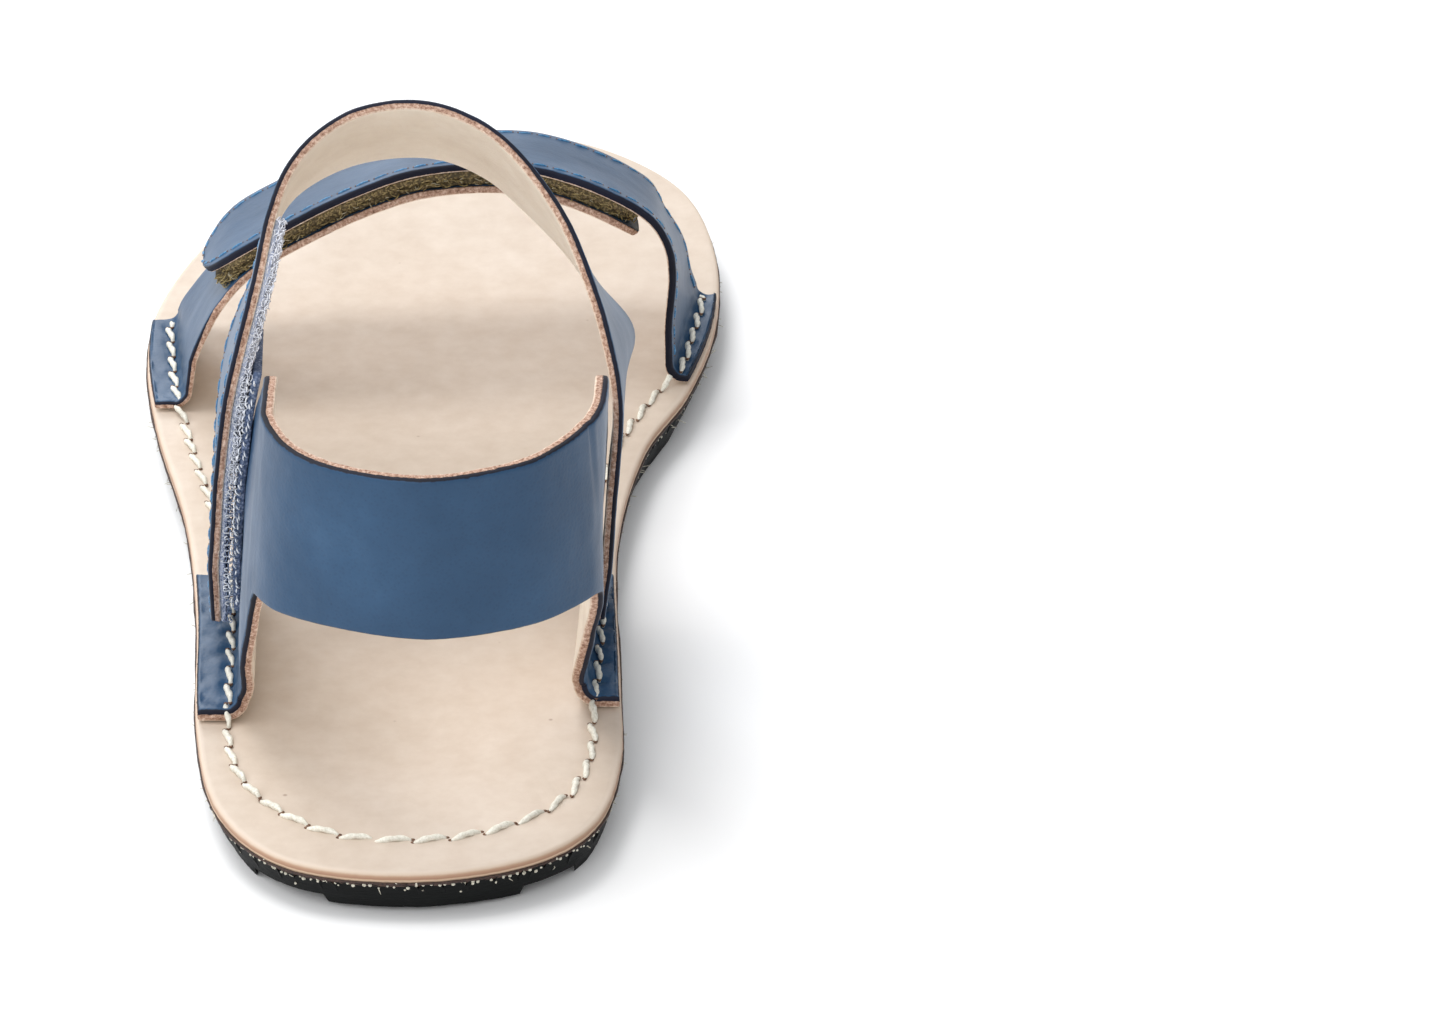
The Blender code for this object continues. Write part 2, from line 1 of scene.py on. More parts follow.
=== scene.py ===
"""Looks of the left foot's strap sandal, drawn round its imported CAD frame.

Metres. X runs to the inner (medial) side of the foot, Y to the toes, Z up from the floor. Shapes
are drawn as part.py draws them, above a flat footbed with the heel at y = 0. They are then raised
with the toe spring and moved into the frame. The straps' faces are the CAD's own, cut finer, with
rounded, two-tone cut edges; stitches, pile, hooks and fibres are added on them.
"""

import bmesh
import bpy
import numpy as np
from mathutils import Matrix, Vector, noise


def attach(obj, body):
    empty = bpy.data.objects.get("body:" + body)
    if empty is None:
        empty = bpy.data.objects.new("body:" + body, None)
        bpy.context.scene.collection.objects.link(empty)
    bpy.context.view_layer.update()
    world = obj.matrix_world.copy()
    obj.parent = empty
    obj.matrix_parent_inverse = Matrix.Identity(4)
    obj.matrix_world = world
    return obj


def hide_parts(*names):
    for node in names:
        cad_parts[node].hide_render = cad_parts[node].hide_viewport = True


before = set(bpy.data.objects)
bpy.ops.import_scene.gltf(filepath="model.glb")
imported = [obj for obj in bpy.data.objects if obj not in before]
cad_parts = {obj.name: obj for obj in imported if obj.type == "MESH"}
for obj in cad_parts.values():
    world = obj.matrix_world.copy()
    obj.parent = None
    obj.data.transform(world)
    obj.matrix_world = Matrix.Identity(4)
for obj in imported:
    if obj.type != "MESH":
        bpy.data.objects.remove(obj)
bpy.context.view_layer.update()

# Overall sizes, as in part.py
SOLE_LENGTH = 0.266
BALL_WIDTH = 0.1045
TOE_SPRING = 0.005
HEEL_HEIGHT = 0.066
INSTEP_HEIGHT = 0.092
FRONT_HEIGHT = 0.0455
SHIFT = (0.001104, -0.133, 0.0)

# Sole
OUTSOLE_THICK = 0.0058
FOOTBED_THICK = 0.0026
GROOVE_DEPTH = 0.0023
GROOVE_FLARE = 0.0008
NOTCH_WIDTH = 0.010
UNDERCUT = 0.0022
WAIST_RISE = 0.0014
HEEL_CUP_DEPTH = 0.0012
HEEL_CUP_RADIUS = 0.027
HEEL_ROCKER = 0.0010
TREAD_CROWN = 0.0012
# The leather's edge is skived thinner than the board, and the rubber rises to meet it
EDGE_LEATHER = 0.0018

# Straps
FACET = 0.0058
LEATHER = 0.0019
HEEL_LEATHER = 0.0023
INSTEP_WIDTH = 0.030
FRONT_WIDTH = 0.033
FRONT_LOOP_TAPE = 0.0010
FRONT_HOOK_TAPE = 0.0006
INSTEP_LOOP_TAPE = 0.0016
INSTEP_HOOK_TAPE = 0.0011
GAP = 0.0003
BEND_RADIUS = 0.0020
FLANGE_MARGIN = 0.0004
STRAP_CORNER = 0.0025
TAB_CORNER = 0.0130
TAPE_INSET = 0.0006
TAPE_CORNER = 0.0080
LOOP_TAPE_REACH = 0.067
HOOK_TAPE_REACH = 0.046
TAPE_START = 0.0030
FRONT_TAPES = FRONT_HOOK_TAPE + FRONT_LOOP_TAPE + 3 * GAP
INSTEP_TAPES = INSTEP_HOOK_TAPE + INSTEP_LOOP_TAPE + 3 * GAP
FOOTBED_TOP = OUTSOLE_THICK + GAP + FOOTBED_THICK
FLANGE_TOP = GAP + LEATHER
HEEL_FLANGE_TOP = GAP + HEEL_LEATHER

# Fineness of the drawn meshes
STEP = 0.0012
OUTLINE_STEPS = 16
ROW_STEPS = 5
LEG_COLUMNS = 26
STRAP_COLUMNS = 28

# The sole's outline, anticlockwise from the back of the heel: across / ball width, along / length
OUTLINE = (
    (0.014, 0.000), (0.191, 0.017), (0.297, 0.060), (0.335, 0.135), (0.331, 0.233), (0.319, 0.406),
    (0.359, 0.538), (0.435, 0.628), (0.482, 0.729), (0.480, 0.835), (0.416, 0.923), (0.258, 0.981),
    (0.067, 1.000), (-0.134, 0.983), (-0.306, 0.932), (-0.435, 0.850), (-0.507, 0.756),
    (-0.513, 0.669), (-0.474, 0.564), (-0.402, 0.436), (-0.362, 0.308), (-0.338, 0.173),
    (-0.287, 0.075), (-0.172, 0.016),
)
# Long tread grooves: middle across / ball width, width / ball width
GROOVES = ((-0.180, 0.130), (0.235, 0.095))
# Notches across the outer ribs: side, middle along / length
NOTCHES = ((1, 0.630), (1, 0.800), (-1, 0.560), (-1, 0.730))

# Outer face of the two legs: height / heel height, then across / ball width at 0.24 of the length
# and slope across per unit along, for the outer (lateral) and the inner (medial) side of the foot
LEG_WALL = (
    (0.045, -0.285, -0.073, 0.286, -0.020),
    (0.075, -0.280, -0.035, 0.281, 0.030),
    (0.125, -0.272, -0.045, 0.284, 0.040),
    (0.300, -0.272, -0.045, 0.299, 0.012),
    (0.550, -0.258, -0.045, 0.309, 0.012),
    (0.750, -0.239, -0.045, 0.315, 0.012),
    (0.910, -0.220, -0.025, 0.321, 0.012),
    (1.000, -0.213, -0.015, 0.323, 0.012),
)
LEG_REFERENCE = 0.240
LEG_START = 0.352
# Front edge of a leg from the sole up: share of the flange's length, along at the top / length,
# top / heel height
LEG_FRONT = (
    (0.000, 0.347, 0.140), (0.120, 0.324, 0.310), (0.257, 0.297, 0.490), (0.393, 0.270, 0.640),
    (0.541, 0.243, 0.765), (0.694, 0.217, 0.865), (0.847, 0.196, 0.935), (1.000, 0.180, 0.975),
)
# Back edge of a leg from the sole up to the heel band: along at the bottom / length, outer then
# inner leg, bottom / heel height, along at the top / length, top / heel height
LEG_BACK = (
    (0.178, 0.195, 0.071, 0.180, 0.975), (0.168, 0.184, 0.105, 0.168, 0.993),
    (0.155, 0.170, 0.175, 0.155, 1.000), (0.141, 0.154, 0.265, 0.141, 1.000),
    (0.128, 0.138, 0.365, 0.127, 1.000), (0.116, 0.121, 0.460, 0.115, 1.000),
    (0.106, 0.108, 0.530, 0.104, 1.000),
)
# The heel band from the outer to the inner side: across and along at its bottom edge, bottom
# edge / heel height, across and along at its top edge
HEEL_BAND = (
    (-0.236, 0.122, 0.500, -0.209, 0.122), (-0.228, 0.105, 0.535, -0.198, 0.104),
    (-0.194, 0.078, 0.552, -0.172, 0.081), (-0.143, 0.060, 0.561, -0.134, 0.062),
    (-0.077, 0.046, 0.566, -0.075, 0.046), (0.000, 0.036, 0.567, 0.000, 0.036),
    (0.067, 0.034, 0.567, 0.067, 0.034), (0.151, 0.043, 0.565, 0.150, 0.044),
    (0.222, 0.058, 0.562, 0.218, 0.060), (0.277, 0.080, 0.558, 0.266, 0.084),
    (0.312, 0.105, 0.545, 0.300, 0.110), (0.319, 0.130, 0.520, 0.312, 0.135),
)
BAND_START = 0.100
BAND_FULL = 0.150

# Face of the foot that the instep strap goes round, from the outer to the inner side: across at
# the strap's back and front edge / ball width, along / length, height / instep height, and how
# far the strap's width leans down, in degrees
INSTEP = (
    (-0.271, -0.283, 0.246, 0.087, 2), (-0.272, -0.284, 0.237, 0.239, 2),
    (-0.260, -0.272, 0.234, 0.391, 4), (-0.241, -0.256, 0.239, 0.533, 8),
    (-0.219, -0.236, 0.252, 0.636, 15), (-0.194, -0.214, 0.273, 0.734, 25),
    (-0.172, -0.198, 0.301, 0.830, 33), (-0.138, -0.165, 0.325, 0.897, 38),
    (-0.071, -0.085, 0.342, 0.946, 40.5), (0.019, 0.019, 0.347, 0.962, 41),
    (0.110, 0.103, 0.340, 0.940, 40.5), (0.178, 0.168, 0.327, 0.887, 38.5),
    (0.235, 0.229, 0.305, 0.815, 34), (0.278, 0.283, 0.278, 0.720, 27),
    (0.306, 0.333, 0.258, 0.620, 19), (0.321, 0.320, 0.242, 0.511, 11),
    (0.317, 0.316, 0.235, 0.370, 4), (0.304, 0.303, 0.238, 0.217, 2),
    (0.290, 0.289, 0.244, 0.098, 2),
)
ON_LEG = 0.45
OFF_LEG = 0.90

# Outer face of the front over strap, carried down to the sole on both sides: the same columns,
# with heights / front height
FRONT = (
    (-0.478, -0.519, 0.592, 0.103, 0), (-0.473, -0.507, 0.592, 0.209, 4),
    (-0.450, -0.480, 0.594, 0.352, 8), (-0.407, -0.426, 0.598, 0.527, 10),
    (-0.344, -0.364, 0.603, 0.670, 10), (-0.249, -0.258, 0.610, 0.791, 10),
    (-0.144, -0.144, 0.616, 0.905, 12), (-0.038, -0.029, 0.621, 0.985, 14),
    (0.077, 0.091, 0.627, 1.002, 15), (0.182, 0.187, 0.632, 0.967, 15),
    (0.287, 0.287, 0.636, 0.870, 15), (0.368, 0.364, 0.639, 0.747, 15),
    (0.406, 0.392, 0.639, 0.615, 14), (0.415, 0.426, 0.638, 0.462, 13),
    (0.408, 0.439, 0.635, 0.264, 8), (0.408, 0.448, 0.633, 0.103, 0),
)
# Where the pile tape on the under strap starts, across the frame
TAPE_STARTS_AT = -0.040
TAB_END = 0.150
UNDER_END = 0.830
FRONT_LOOP_START = 0.150
FRONT_HOOK_START = 0.170
FRONT_TAPE_END = 0.805
UNDER_FORWARD = 0.0035

# Profile of a cut leather edge, from the face to the back: inset in millimetres, share of the
# thickness. The face's corner is rounded more than the back's.
CUT_EDGE = (
    (0.30, 0.03), (0.13, 0.10), (0.03, 0.18), (0.00, 0.28), (0.00, 0.38), (0.01, 0.46), (0.02, 0.54),
    (0.01, 0.63), (0.00, 0.72), (0.01, 0.81), (0.04, 0.90), (0.12, 0.965),
)
CUT_EDGE_FACE_INSET = 0.00048
CUT_EDGE_BACK_INSET = 0.00028
# Profile of a tape's edge
TAPE_EDGE = ((0.05, 0.25), (0.00, 0.50), (0.05, 0.75))
TAPE_EDGE_INSET = 0.00015

# Stitches
CRINKLE = 0.00028
WELT_STITCH = 0.0060
WELT_THREAD = 0.00052
WELT_INSET = 0.0050
WELT_FROM_BEND = -0.0006
WELT_HEEL_INSET = 0.0100
WELT_ENDS = (0.1985, 0.2030)
# The share of the instep's pile tape that lies closed on the hooks
CLOSED_SHARE = 0.42
# Rows of hooks along the hook tape's edges: how deep in the tape, how far apart, and how far
# they lean from the face towards the edge
HOOK_ROWS = ((0.15, 0.0011, 0.75), (0.60, 0.0013, 0.95), (0.0, 0.0012, 0.25))
SEAM_STITCH = 0.0036
SEAM_THREAD = 0.00024

# Share of a cut edge that the dye covers, and the same where tape hides the face
DYED = 0.44
DYED_OVER = 0.86
DYED_UNDER_TAPE = 0.10
# Visible thickness of the two front straps, whose pile fills the rest
FRONT_LEATHER = 0.0016
PILE_BAND = 2 * LEATHER + FRONT_TAPES - 2 * FRONT_LEATHER

# Studio: the sky's strength at the horizon, how much it gains at the top and on the left
SKY_HORIZON = 0.38
SKY_RISE = 0.58
SKY_LEFT = 0.26
# Lights: name, place, size, power
LIGHTS = (
    ("toe_softbox", (-0.45, 1.50, 1.00), 1.2, 15.0),
    ("top_softbox", (-0.45, 0.15, 1.70), 0.8, 11.0),
    ("left_softbox", (-1.30, -0.20, 1.00), 1.0, 6.0),
    ("heel_softbox", (-0.30, -1.60, 0.90), 1.2, 8.0),
)

# The photograph's camera: place, how far it looks down, and its focal length. The sandal stands
# left of the middle, as in the photograph, and needs no shift.
CAMERA_PLACE = (0.0527, -1.0124, 0.5527)
CAMERA_DOWN = 28.5
IMAGE_WIDTH = 1445
FOCAL_PIXELS = 6500
SENSOR = 36.0


# Shapes as in part.py


def spline(rows, steps, closed=False):
    """Smooth rows through the given ones, each interval cut into this many steps."""
    rows = np.array(rows, float)
    if closed:
        rows = np.concatenate([rows[-1:], rows, rows[:2]])
    else:
        rows = np.concatenate([2 * rows[:1] - rows[1:2], rows, 2 * rows[-1:] - rows[-2:-1]])
    t = (np.arange(steps) / steps).reshape(-1, *[1] * (rows.ndim - 1))
    found = []
    for a, b, c, d in zip(rows, rows[1:], rows[2:], rows[3:]):
        found.append(
            0.5 * (2 * b + (c - a) * t + (2 * a - 5 * b + 4 * c - d) * t**2 + (3 * b - a - 3 * c + d) * t**3)
        )
    if not closed:
        found.append(rows[-2:-1])
    return np.concatenate(found)


def smooth_step(value, low, high):
    t = np.clip((value - low) / (high - low), 0.0, 1.0)
    return t * t * (3 - 2 * t)


def unit(vectors):
    return vectors / np.maximum(np.linalg.norm(vectors, axis=-1, keepdims=True), 1e-12)


def outline():
    return spline(OUTLINE, OUTLINE_STEPS, closed=True) * (BALL_WIDTH, SOLE_LENGTH)


def edge_across(side, along):
    """How far across the sole's edge lies, on the inner (1) or the outer (-1) side."""
    loop = outline()
    half = loop[side * (loop[:, 0] - 0.014 * BALL_WIDTH) > 0]
    half = half[np.argsort(half[:, 1])]
    return np.interp(along, half[:, 1], half[:, 0])


def wall_across(side, along, height):
    """Outer face of a leg."""
    rows = np.array(LEG_WALL)
    columns = (1, 2) if side < 0 else (3, 4)
    share = height / HEEL_HEIGHT
    across, slope = (np.interp(share, rows[:, 0], rows[:, column]) for column in columns)
    return across * BALL_WIDTH + slope * (along - LEG_REFERENCE * SOLE_LENGTH)


def toe_lift(along):
    start = 0.69 * SOLE_LENGTH
    return TOE_SPRING * np.clip((along - start) / (SOLE_LENGTH - start), 0, 1.2) ** 2


def heel_cup(across, along):
    far = np.hypot(across, along - 0.165 * SOLE_LENGTH) / HEEL_CUP_RADIUS
    return HEEL_CUP_DEPTH * (1 - smooth_step(far, 0.0, 1.0))


def arch(rows, width, height):
    """Grid of a strap's face, a row for each place along it and a column at each edge."""
    dense = spline(rows, 12)
    lean = np.radians(dense[:, 4])
    back = np.stack([dense[:, 0] * BALL_WIDTH, dense[:, 2] * SOLE_LENGTH, dense[:, 3] * height], 1)
    front_along = back[:, 1] + width * np.cos(lean)
    front = np.stack([dense[:, 1] * BALL_WIDTH, front_along, back[:, 2] - width * np.sin(lean)], 1)
    share = np.linspace(0, 1, 4)[None, :, None]
    return back[:, None] * (1 - share) + front[:, None] * share


def laid_on_legs(grid):
    """The lower ends of a strap's grid moved onto the outer faces of the legs."""
    grid = grid.copy()
    side = np.where(np.arange(len(grid)) < len(grid) / 2, -1, 1)
    for row, inward in zip(grid, side):
        free = smooth_step(row[0, 2] / HEEL_HEIGHT, ON_LEG, OFF_LEG)
        on_leg = wall_across(inward, row[:, 1], np.minimum(row[:, 2], HEEL_HEIGHT))
        row[:, 0] = row[:, 0] * free + on_leg * (1 - free)
    return grid


def outward(grid):
    """Unit normals of a grid, on its outer side."""
    normal = unit(np.cross(np.gradient(grid, axis=0), np.gradient(grid, axis=1)))
    middle = grid.mean(axis=(0, 1)) * (1, 1, 0.3)
    return normal * np.sign(np.sum((grid - middle) * normal))


def lengths_along(grid):
    steps = np.linalg.norm(np.diff(grid.mean(axis=1), axis=0), axis=1)
    return np.concatenate([[0], np.cumsum(steps)])


def edge_shares(columns):
    """Even shares from 0 to 1, closer together next to both edges."""
    even = np.linspace(0, 1, columns)
    return even - 0.45 / columns * np.sin(2 * np.pi * even)


def part_of(grid, start, end, round_start=0.0, round_end=0.0, inset=0.0, forward=0.0, out=0.0):
    """The stretch of a grid between two lengths along it, with rounded corners at its ends.

    It lies forward of the grid's edges by the forward value, from 0 at its start. The last value, out, is not used.
    """
    length = lengths_along(grid)
    places = np.linspace(start, end, int(round((end - start) / STEP)) + 1)
    for radius, origin, way in ((round_start, start, 1), (round_end, end, -1)):
        if radius:
            near = origin + way * radius * (1 - np.cos(np.linspace(0, np.pi / 2, 16)))
            places = places[np.abs(places - origin) > radius * 1.03]
            places = np.sort(np.concatenate([places, near]))
    width = np.linalg.norm(grid[:, -1] - grid[:, 0], axis=1).mean()
    shares = edge_shares(STRAP_COLUMNS)[:, None]
    found = []
    for place in places:
        cut_in = inset
        for radius, origin in ((round_start, start), (round_end, end)):
            gone = radius - abs(place - origin)
            if radius and gone > 0:
                cut_in += radius - np.sqrt(max(radius**2 - gone**2, 0.0))
        back, front = (
            np.array([np.interp(place, length, grid[:, k, axis]) for axis in range(3)]) for k in (0, -1)
        )
        ahead = forward * smooth_step(place, 0.0, 0.3 * length[-1])
        low, high = (cut_in + ahead) / width, (width - cut_in + ahead) / width
        share = low + (high - low) * shares
        found.append(back * (1 - share) + front * share)
    return np.array(found)


def flange(side, foot, top):
    """From the sole's edge over the turned-out flange and round its bend to the foot of a wall."""
    across, along, _ = foot
    edge = edge_across(side, along) - side * FLANGE_MARGIN
    bend_start = across + side * BEND_RADIUS
    found = [(edge * (1 - t) + bend_start * t, along, top) for t in np.linspace(0, 1, 8)]
    for angle in np.radians(np.arange(12, 88, 12)):
        turn = BEND_RADIUS * np.sin(angle)
        rise = BEND_RADIUS * (1 - np.cos(angle))
        found.append((bend_start - side * turn, along, top + rise))
    return np.array(found)


def leg_foot(side, along):
    height = HEEL_FLANGE_TOP + BEND_RADIUS
    return np.array([wall_across(side, along, height), along, height])


def leg_rows(side):
    """Bottom and top points of a leg, from its front edge to the heel band."""
    rows = []
    back = LEG_BACK[0][0 if side < 0 else 1]
    for foot, top_along, top in spline(LEG_FRONT, 2)[:-1]:
        bottom = leg_foot(side, (LEG_START + (back - LEG_START) * foot) * SOLE_LENGTH)
        rows.append((bottom, top_along * SOLE_LENGTH, top * HEEL_HEIGHT))
    for place, (outer, inner, low, top_along, top) in enumerate(spline(LEG_BACK, 2)):
        along, height = (outer if side < 0 else inner) * SOLE_LENGTH, low * HEEL_HEIGHT
        bottom = leg_foot(side, along) if place == 0 else np.array([0, along, height])
        rows.append((bottom, top_along * SOLE_LENGTH, top * HEEL_HEIGHT))
    return rows


LEG_FLANGED = 2 * (len(LEG_FRONT) - 1) + 1


def band_across(side, along, height):
    """The band's face beside the heel, where the legs run into it."""
    rows = np.array(HEEL_BAND)
    half = rows[: len(rows) // 2] if side < 0 else rows[len(rows) // 2 :]
    half = half[np.argsort(half[:, 1])]
    low = np.interp(along, half[:, 1] * SOLE_LENGTH, half[:, 0])
    high = np.interp(along, half[:, 4] * SOLE_LENGTH, half[:, 3])
    share = np.clip((height / HEEL_HEIGHT - 0.5) / 0.5, 0, 1)
    return (low * (1 - share) + high * share) * BALL_WIDTH


def leg_grid(side):
    share = edge_shares(LEG_COLUMNS)
    found = []
    for bottom, top_along, top in leg_rows(side):
        along = bottom[1] * (1 - share) + top_along * share
        height = bottom[2] * (1 - share) + top * share
        on_wall = smooth_step(along, BAND_START * SOLE_LENGTH, BAND_FULL * SOLE_LENGTH)
        across = wall_across(side, along, height) * on_wall
        across += band_across(side, along, height) * (1 - on_wall)
        found.append(np.stack([across, along, height], 1))
    return found


def band_grid():
    share = edge_shares(LEG_COLUMNS)[:, None]
    found = []
    for low_across, low_along, low, high_across, high_along in spline(HEEL_BAND, 3)[4:-4]:
        bottom = np.array([low_across * BALL_WIDTH, low_along * SOLE_LENGTH, low * HEEL_HEIGHT])
        top = np.array([high_across * BALL_WIDTH, high_along * SOLE_LENGTH, HEEL_HEIGHT])
        found.append(bottom * (1 - share) + top * share)
    return found


def heel_grids():
    """Walls of the heel strap, and the two flanges, each with its flip."""
    outer, inner = leg_grid(-1), leg_grid(1)
    rows = spline(np.array(outer + band_grid() + inner[::-1]), ROW_STEPS)
    flanged = (LEG_FLANGED - 1) * ROW_STEPS + 1
    grids = [(rows, True)]
    for side, walls in ((-1, rows[:flanged]), (1, rows[::-1][:flanged])):
        feet = [wall[0] for wall in walls]
        grids.append((np.array([np.vstack([flange(side, foot, HEEL_FLANGE_TOP), foot]) for foot in feet]), side < 0))
    return grids


def instep_faces():
    """Outer faces of the instep strap and of the loop tape behind it, and the hook tape's."""
    foot_side = laid_on_legs(arch(INSTEP, INSTEP_WIDTH, INSTEP_HEIGHT))
    share = np.linspace(0, 1, len(foot_side))[:, None, None]
    without_tapes = smooth_step(share, 0.35, 0.65)
    behind = INSTEP_TAPES * (1 - without_tapes) + GAP * without_tapes
    normal = outward(foot_side)
    strap = foot_side + normal * (LEATHER + behind)
    loop = strap - normal * LEATHER
    hook = foot_side + normal * (GAP + INSTEP_HOOK_TAPE)
    return strap, loop, hook


def with_flange(grid, side):
    """A strap's grid with its flange put before its first row."""
    foot_height = FLANGE_TOP + BEND_RADIUS
    ahead = grid[int(round(2 * FACET / STEP))]
    share = (foot_height - grid[0, :, 2]) / (ahead[:, 2] - grid[0, :, 2])
    foot = grid[0] + (ahead - grid[0]) * share[:, None]
    wall = grid[grid[:, :, 2].min(axis=1) > foot_height + 0.5 * BEND_RADIUS]
    edge_rows = [flange(side, point, FLANGE_TOP) for point in foot]
    return np.concatenate([np.stack(edge_rows, 1), foot[None], wall])


def front_faces():
    """Grids of the over strap, the under strap, and the loop and hook tapes between them."""
    outer = arch(FRONT, FRONT_WIDTH, FRONT_HEIGHT)
    normal = outward(outer)
    under = outer - normal * (2 * LEATHER + FRONT_TAPES - FRONT_LEATHER)
    loop = outer - normal * (FRONT_LEATHER + 0.45 * PILE_BAND)
    hook = outer - normal * FRONT_LEATHER
    total = lengths_along(outer)[-1]
    over = with_flange(part_of(outer[::-1], 0, (1 - TAB_END) * total, round_end=TAB_CORNER), 1)
    below_end = UNDER_END * lengths_along(under)[-1]
    below = part_of(under, 0, below_end, round_end=TAPE_CORNER, forward=UNDER_FORWARD)
    below = with_flange(below, -1)
    tapes = []
    for grid, start, forward in ((loop, FRONT_LOOP_START, UNDER_FORWARD), (hook, FRONT_HOOK_START, 0.0)):
        length = lengths_along(grid)[-1]
        end = FRONT_TAPE_END * length
        tapes.append(part_of(grid, start * length, end, TAPE_CORNER, TAPE_CORNER, TAPE_INSET, forward))
    return over, below, *tapes


# Meshes


def placed(points):
    """Points drawn above a flat footbed, raised to the real one and moved into the frame."""
    points = np.array(points, float)
    points[..., 2] += FOOTBED_TOP + toe_lift(points[..., 1])
    return points + SHIFT


def welded(grids):
    """Points and four-sided faces of several grids, made one where they meet."""
    points, faces, start = [], [], 0
    for grid, flip in grids:
        rows, columns = grid.shape[:2]
        index = start + np.arange(rows * columns).reshape(rows, columns)
        quad = np.stack([index[:-1, :-1], index[:-1, 1:], index[1:, 1:], index[1:, :-1]], -1).reshape(-1, 4)
        faces.append(quad[:, ::-1] if flip else quad)
        points.append(grid.reshape(-1, 3))
        start += rows * columns
    points = np.vstack(points)
    _, first, index = np.unique(np.round(points, 7), axis=0, return_index=True, return_inverse=True)
    return points[first], index.reshape(-1)[np.vstack(faces)]


def point_normals(points, faces):
    a, b, c, d = (points[faces[:, k]] for k in range(4))
    across = np.cross(c - a, d - b)
    normal = np.zeros_like(points)
    for k in range(4):
        np.add.at(normal, faces[:, k], across)
    return unit(normal)


def boundary_loops(faces):
    """The open edges of some faces, as loops of points in the faces' own direction."""
    edges = np.concatenate([np.stack([faces[:, k], faces[:, (k + 1) % 4]], 1) for k in range(4)])
    known = {tuple(edge) for edge in edges.tolist() if edge[0] != edge[1]}
    following = {a: b for a, b in sorted(known) if (b, a) not in known}
    loops = []
    while following:
        at = min(following)
        loop = []
        while at in following:
            loop.append(at)
            at = following.pop(at)
        loops.append(np.array(loop))
    return loops


def fractal(points, size, seed, octaves=3):
    """Smooth noise from about -1 to 1 at each point, with features of this size in metres."""
    away = Vector((7.1 * seed, 3.7 * seed, 1.3 * seed))
    return np.array([noise.fractal(Vector(p) / size + away, 0.7, 2.0, octaves) for p in points.tolist()])


def pressed(points, dents):
    """How deep each point is pressed in by (place, depth, radius) dents."""
    depth = np.zeros(len(points))
    for place, deep, radius in dents:
        near = np.flatnonzero(np.abs(points - place).max(axis=1) < 3 * radius)
        far = np.linalg.norm(points[near] - place, axis=1) / radius
        depth[near] += deep * np.exp(-(far**2))
    return depth


def mesh_piece(name, points, faces, materials, replaced=(), values=None, smooth=True):
    """An object that rides on the sandal's only body."""
    mesh = bpy.data.meshes.new(name)
    mesh.from_pydata(points.tolist(), [], [tuple(dict.fromkeys(face)) for face in faces])
    for key, numbers in (values or {}).items():
        layer = mesh.attributes.new(key, "FLOAT", "POINT")
        layer.data.foreach_set("value", np.asarray(numbers, np.float32))
    mesh.validate()
    for made in materials:
        mesh.materials.append(made)
    mesh.shade_smooth() if smooth else mesh.shade_flat()
    obj = bpy.data.objects.new(name, mesh)
    bpy.context.scene.collection.objects.link(obj)
    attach(obj, "root")
    if replaced:
        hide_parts(*replaced)
    return obj


def crinkles(points, seed):
    """How much the turned-out flanges, which lie low on the footbed, are puckered by their seam."""
    above = points[:, 2] - FOOTBED_TOP - toe_lift(points[:, 1] - SHIFT[1])
    low = 1 - smooth_step(above, HEEL_FLANGE_TOP + 0.0003, HEEL_FLANGE_TOP + 0.0060)
    return CRINKLE * low * fractal(points, 0.0045, seed + 40)


def thick_sheet(
    name, grids, thickness, made, node, seed, profile, insets, rough, wave, dents=(), dyed=None
):
    """A leather or tape sheet with a shaped edge: its outer face is given, its back lies behind it.

    The attribute "through" runs from 0 on the face to 1 on the back, and "dyed" says how far the
    edge's dye reaches.
    """
    points, faces = welded([(placed(grid), flip) for grid, flip in grids])
    normal = point_normals(points, faces)
    count = len(points)
    sunk = pressed(points, dents)
    if wave:
        sunk = sunk + wave * (0.5 + 0.5 * fractal(points, 0.009, seed)) + crinkles(points, seed)
    face = points - normal * sunk[:, None]
    back = points - normal * thickness
    rng = np.random.default_rng(seed)
    vertices, rings = [face, back], [faces, faces[:, ::-1] + count]
    through = [np.zeros(count), np.ones(count)]
    start = 2 * count
    for loop in boundary_loops(faces):
        here, out = points[loop], normal[loop]
        ahead = np.roll(here, -1, axis=0) - np.roll(here, 1, axis=0)
        sideways = unit(np.cross(ahead, out))
        face[loop] -= sideways * insets[0]
        back[loop] -= sideways * insets[1]
        previous = loop
        for inset, share in profile:
            uneven = rng.normal(0, rough, len(loop)) * (0.15 if share < 0.4 else 1.0)
            deep = sunk[loop] * (1 - share) + thickness * share
            row = here - sideways * (inset * 0.001 + uneven)[:, None] - out * deep[:, None]
            index = start + np.arange(len(loop))
            rings.append(np.stack([np.roll(previous, -1), previous, index, np.roll(index, -1)], 1))
            vertices.append(row)
            through.append(np.full(len(loop), share))
            previous = index
            start += len(loop)
        last = loop + count
        rings.append(np.stack([np.roll(previous, -1), previous, last, np.roll(last, -1)], 1))
    values = {"through": np.concatenate(through)}
    points, faces = np.vstack(vertices), np.vstack(rings)
    if dyed is not None:
        values["dyed"] = dyed(points) if callable(dyed) else np.full(len(points), dyed)
    return mesh_piece(name, points, faces, [made], (node,), values)


def leather_piece(name, grids, thickness, node, seed, dents=(), wave=0.00018, dyed=DYED):
    made = strap_leather()
    insets = (CUT_EDGE_FACE_INSET, CUT_EDGE_BACK_INSET)
    return thick_sheet(
        name, grids, thickness, made, node, seed, CUT_EDGE, insets, 0.00005, wave, dents, dyed
    )


def tape_piece(name, grid, thickness, made, node, seed):
    insets = (TAPE_EDGE_INSET, TAPE_EDGE_INSET)
    return thick_sheet(
        name, [(grid, True)], thickness, made, node, seed, TAPE_EDGE, insets, 0.00004, 0.0
    )


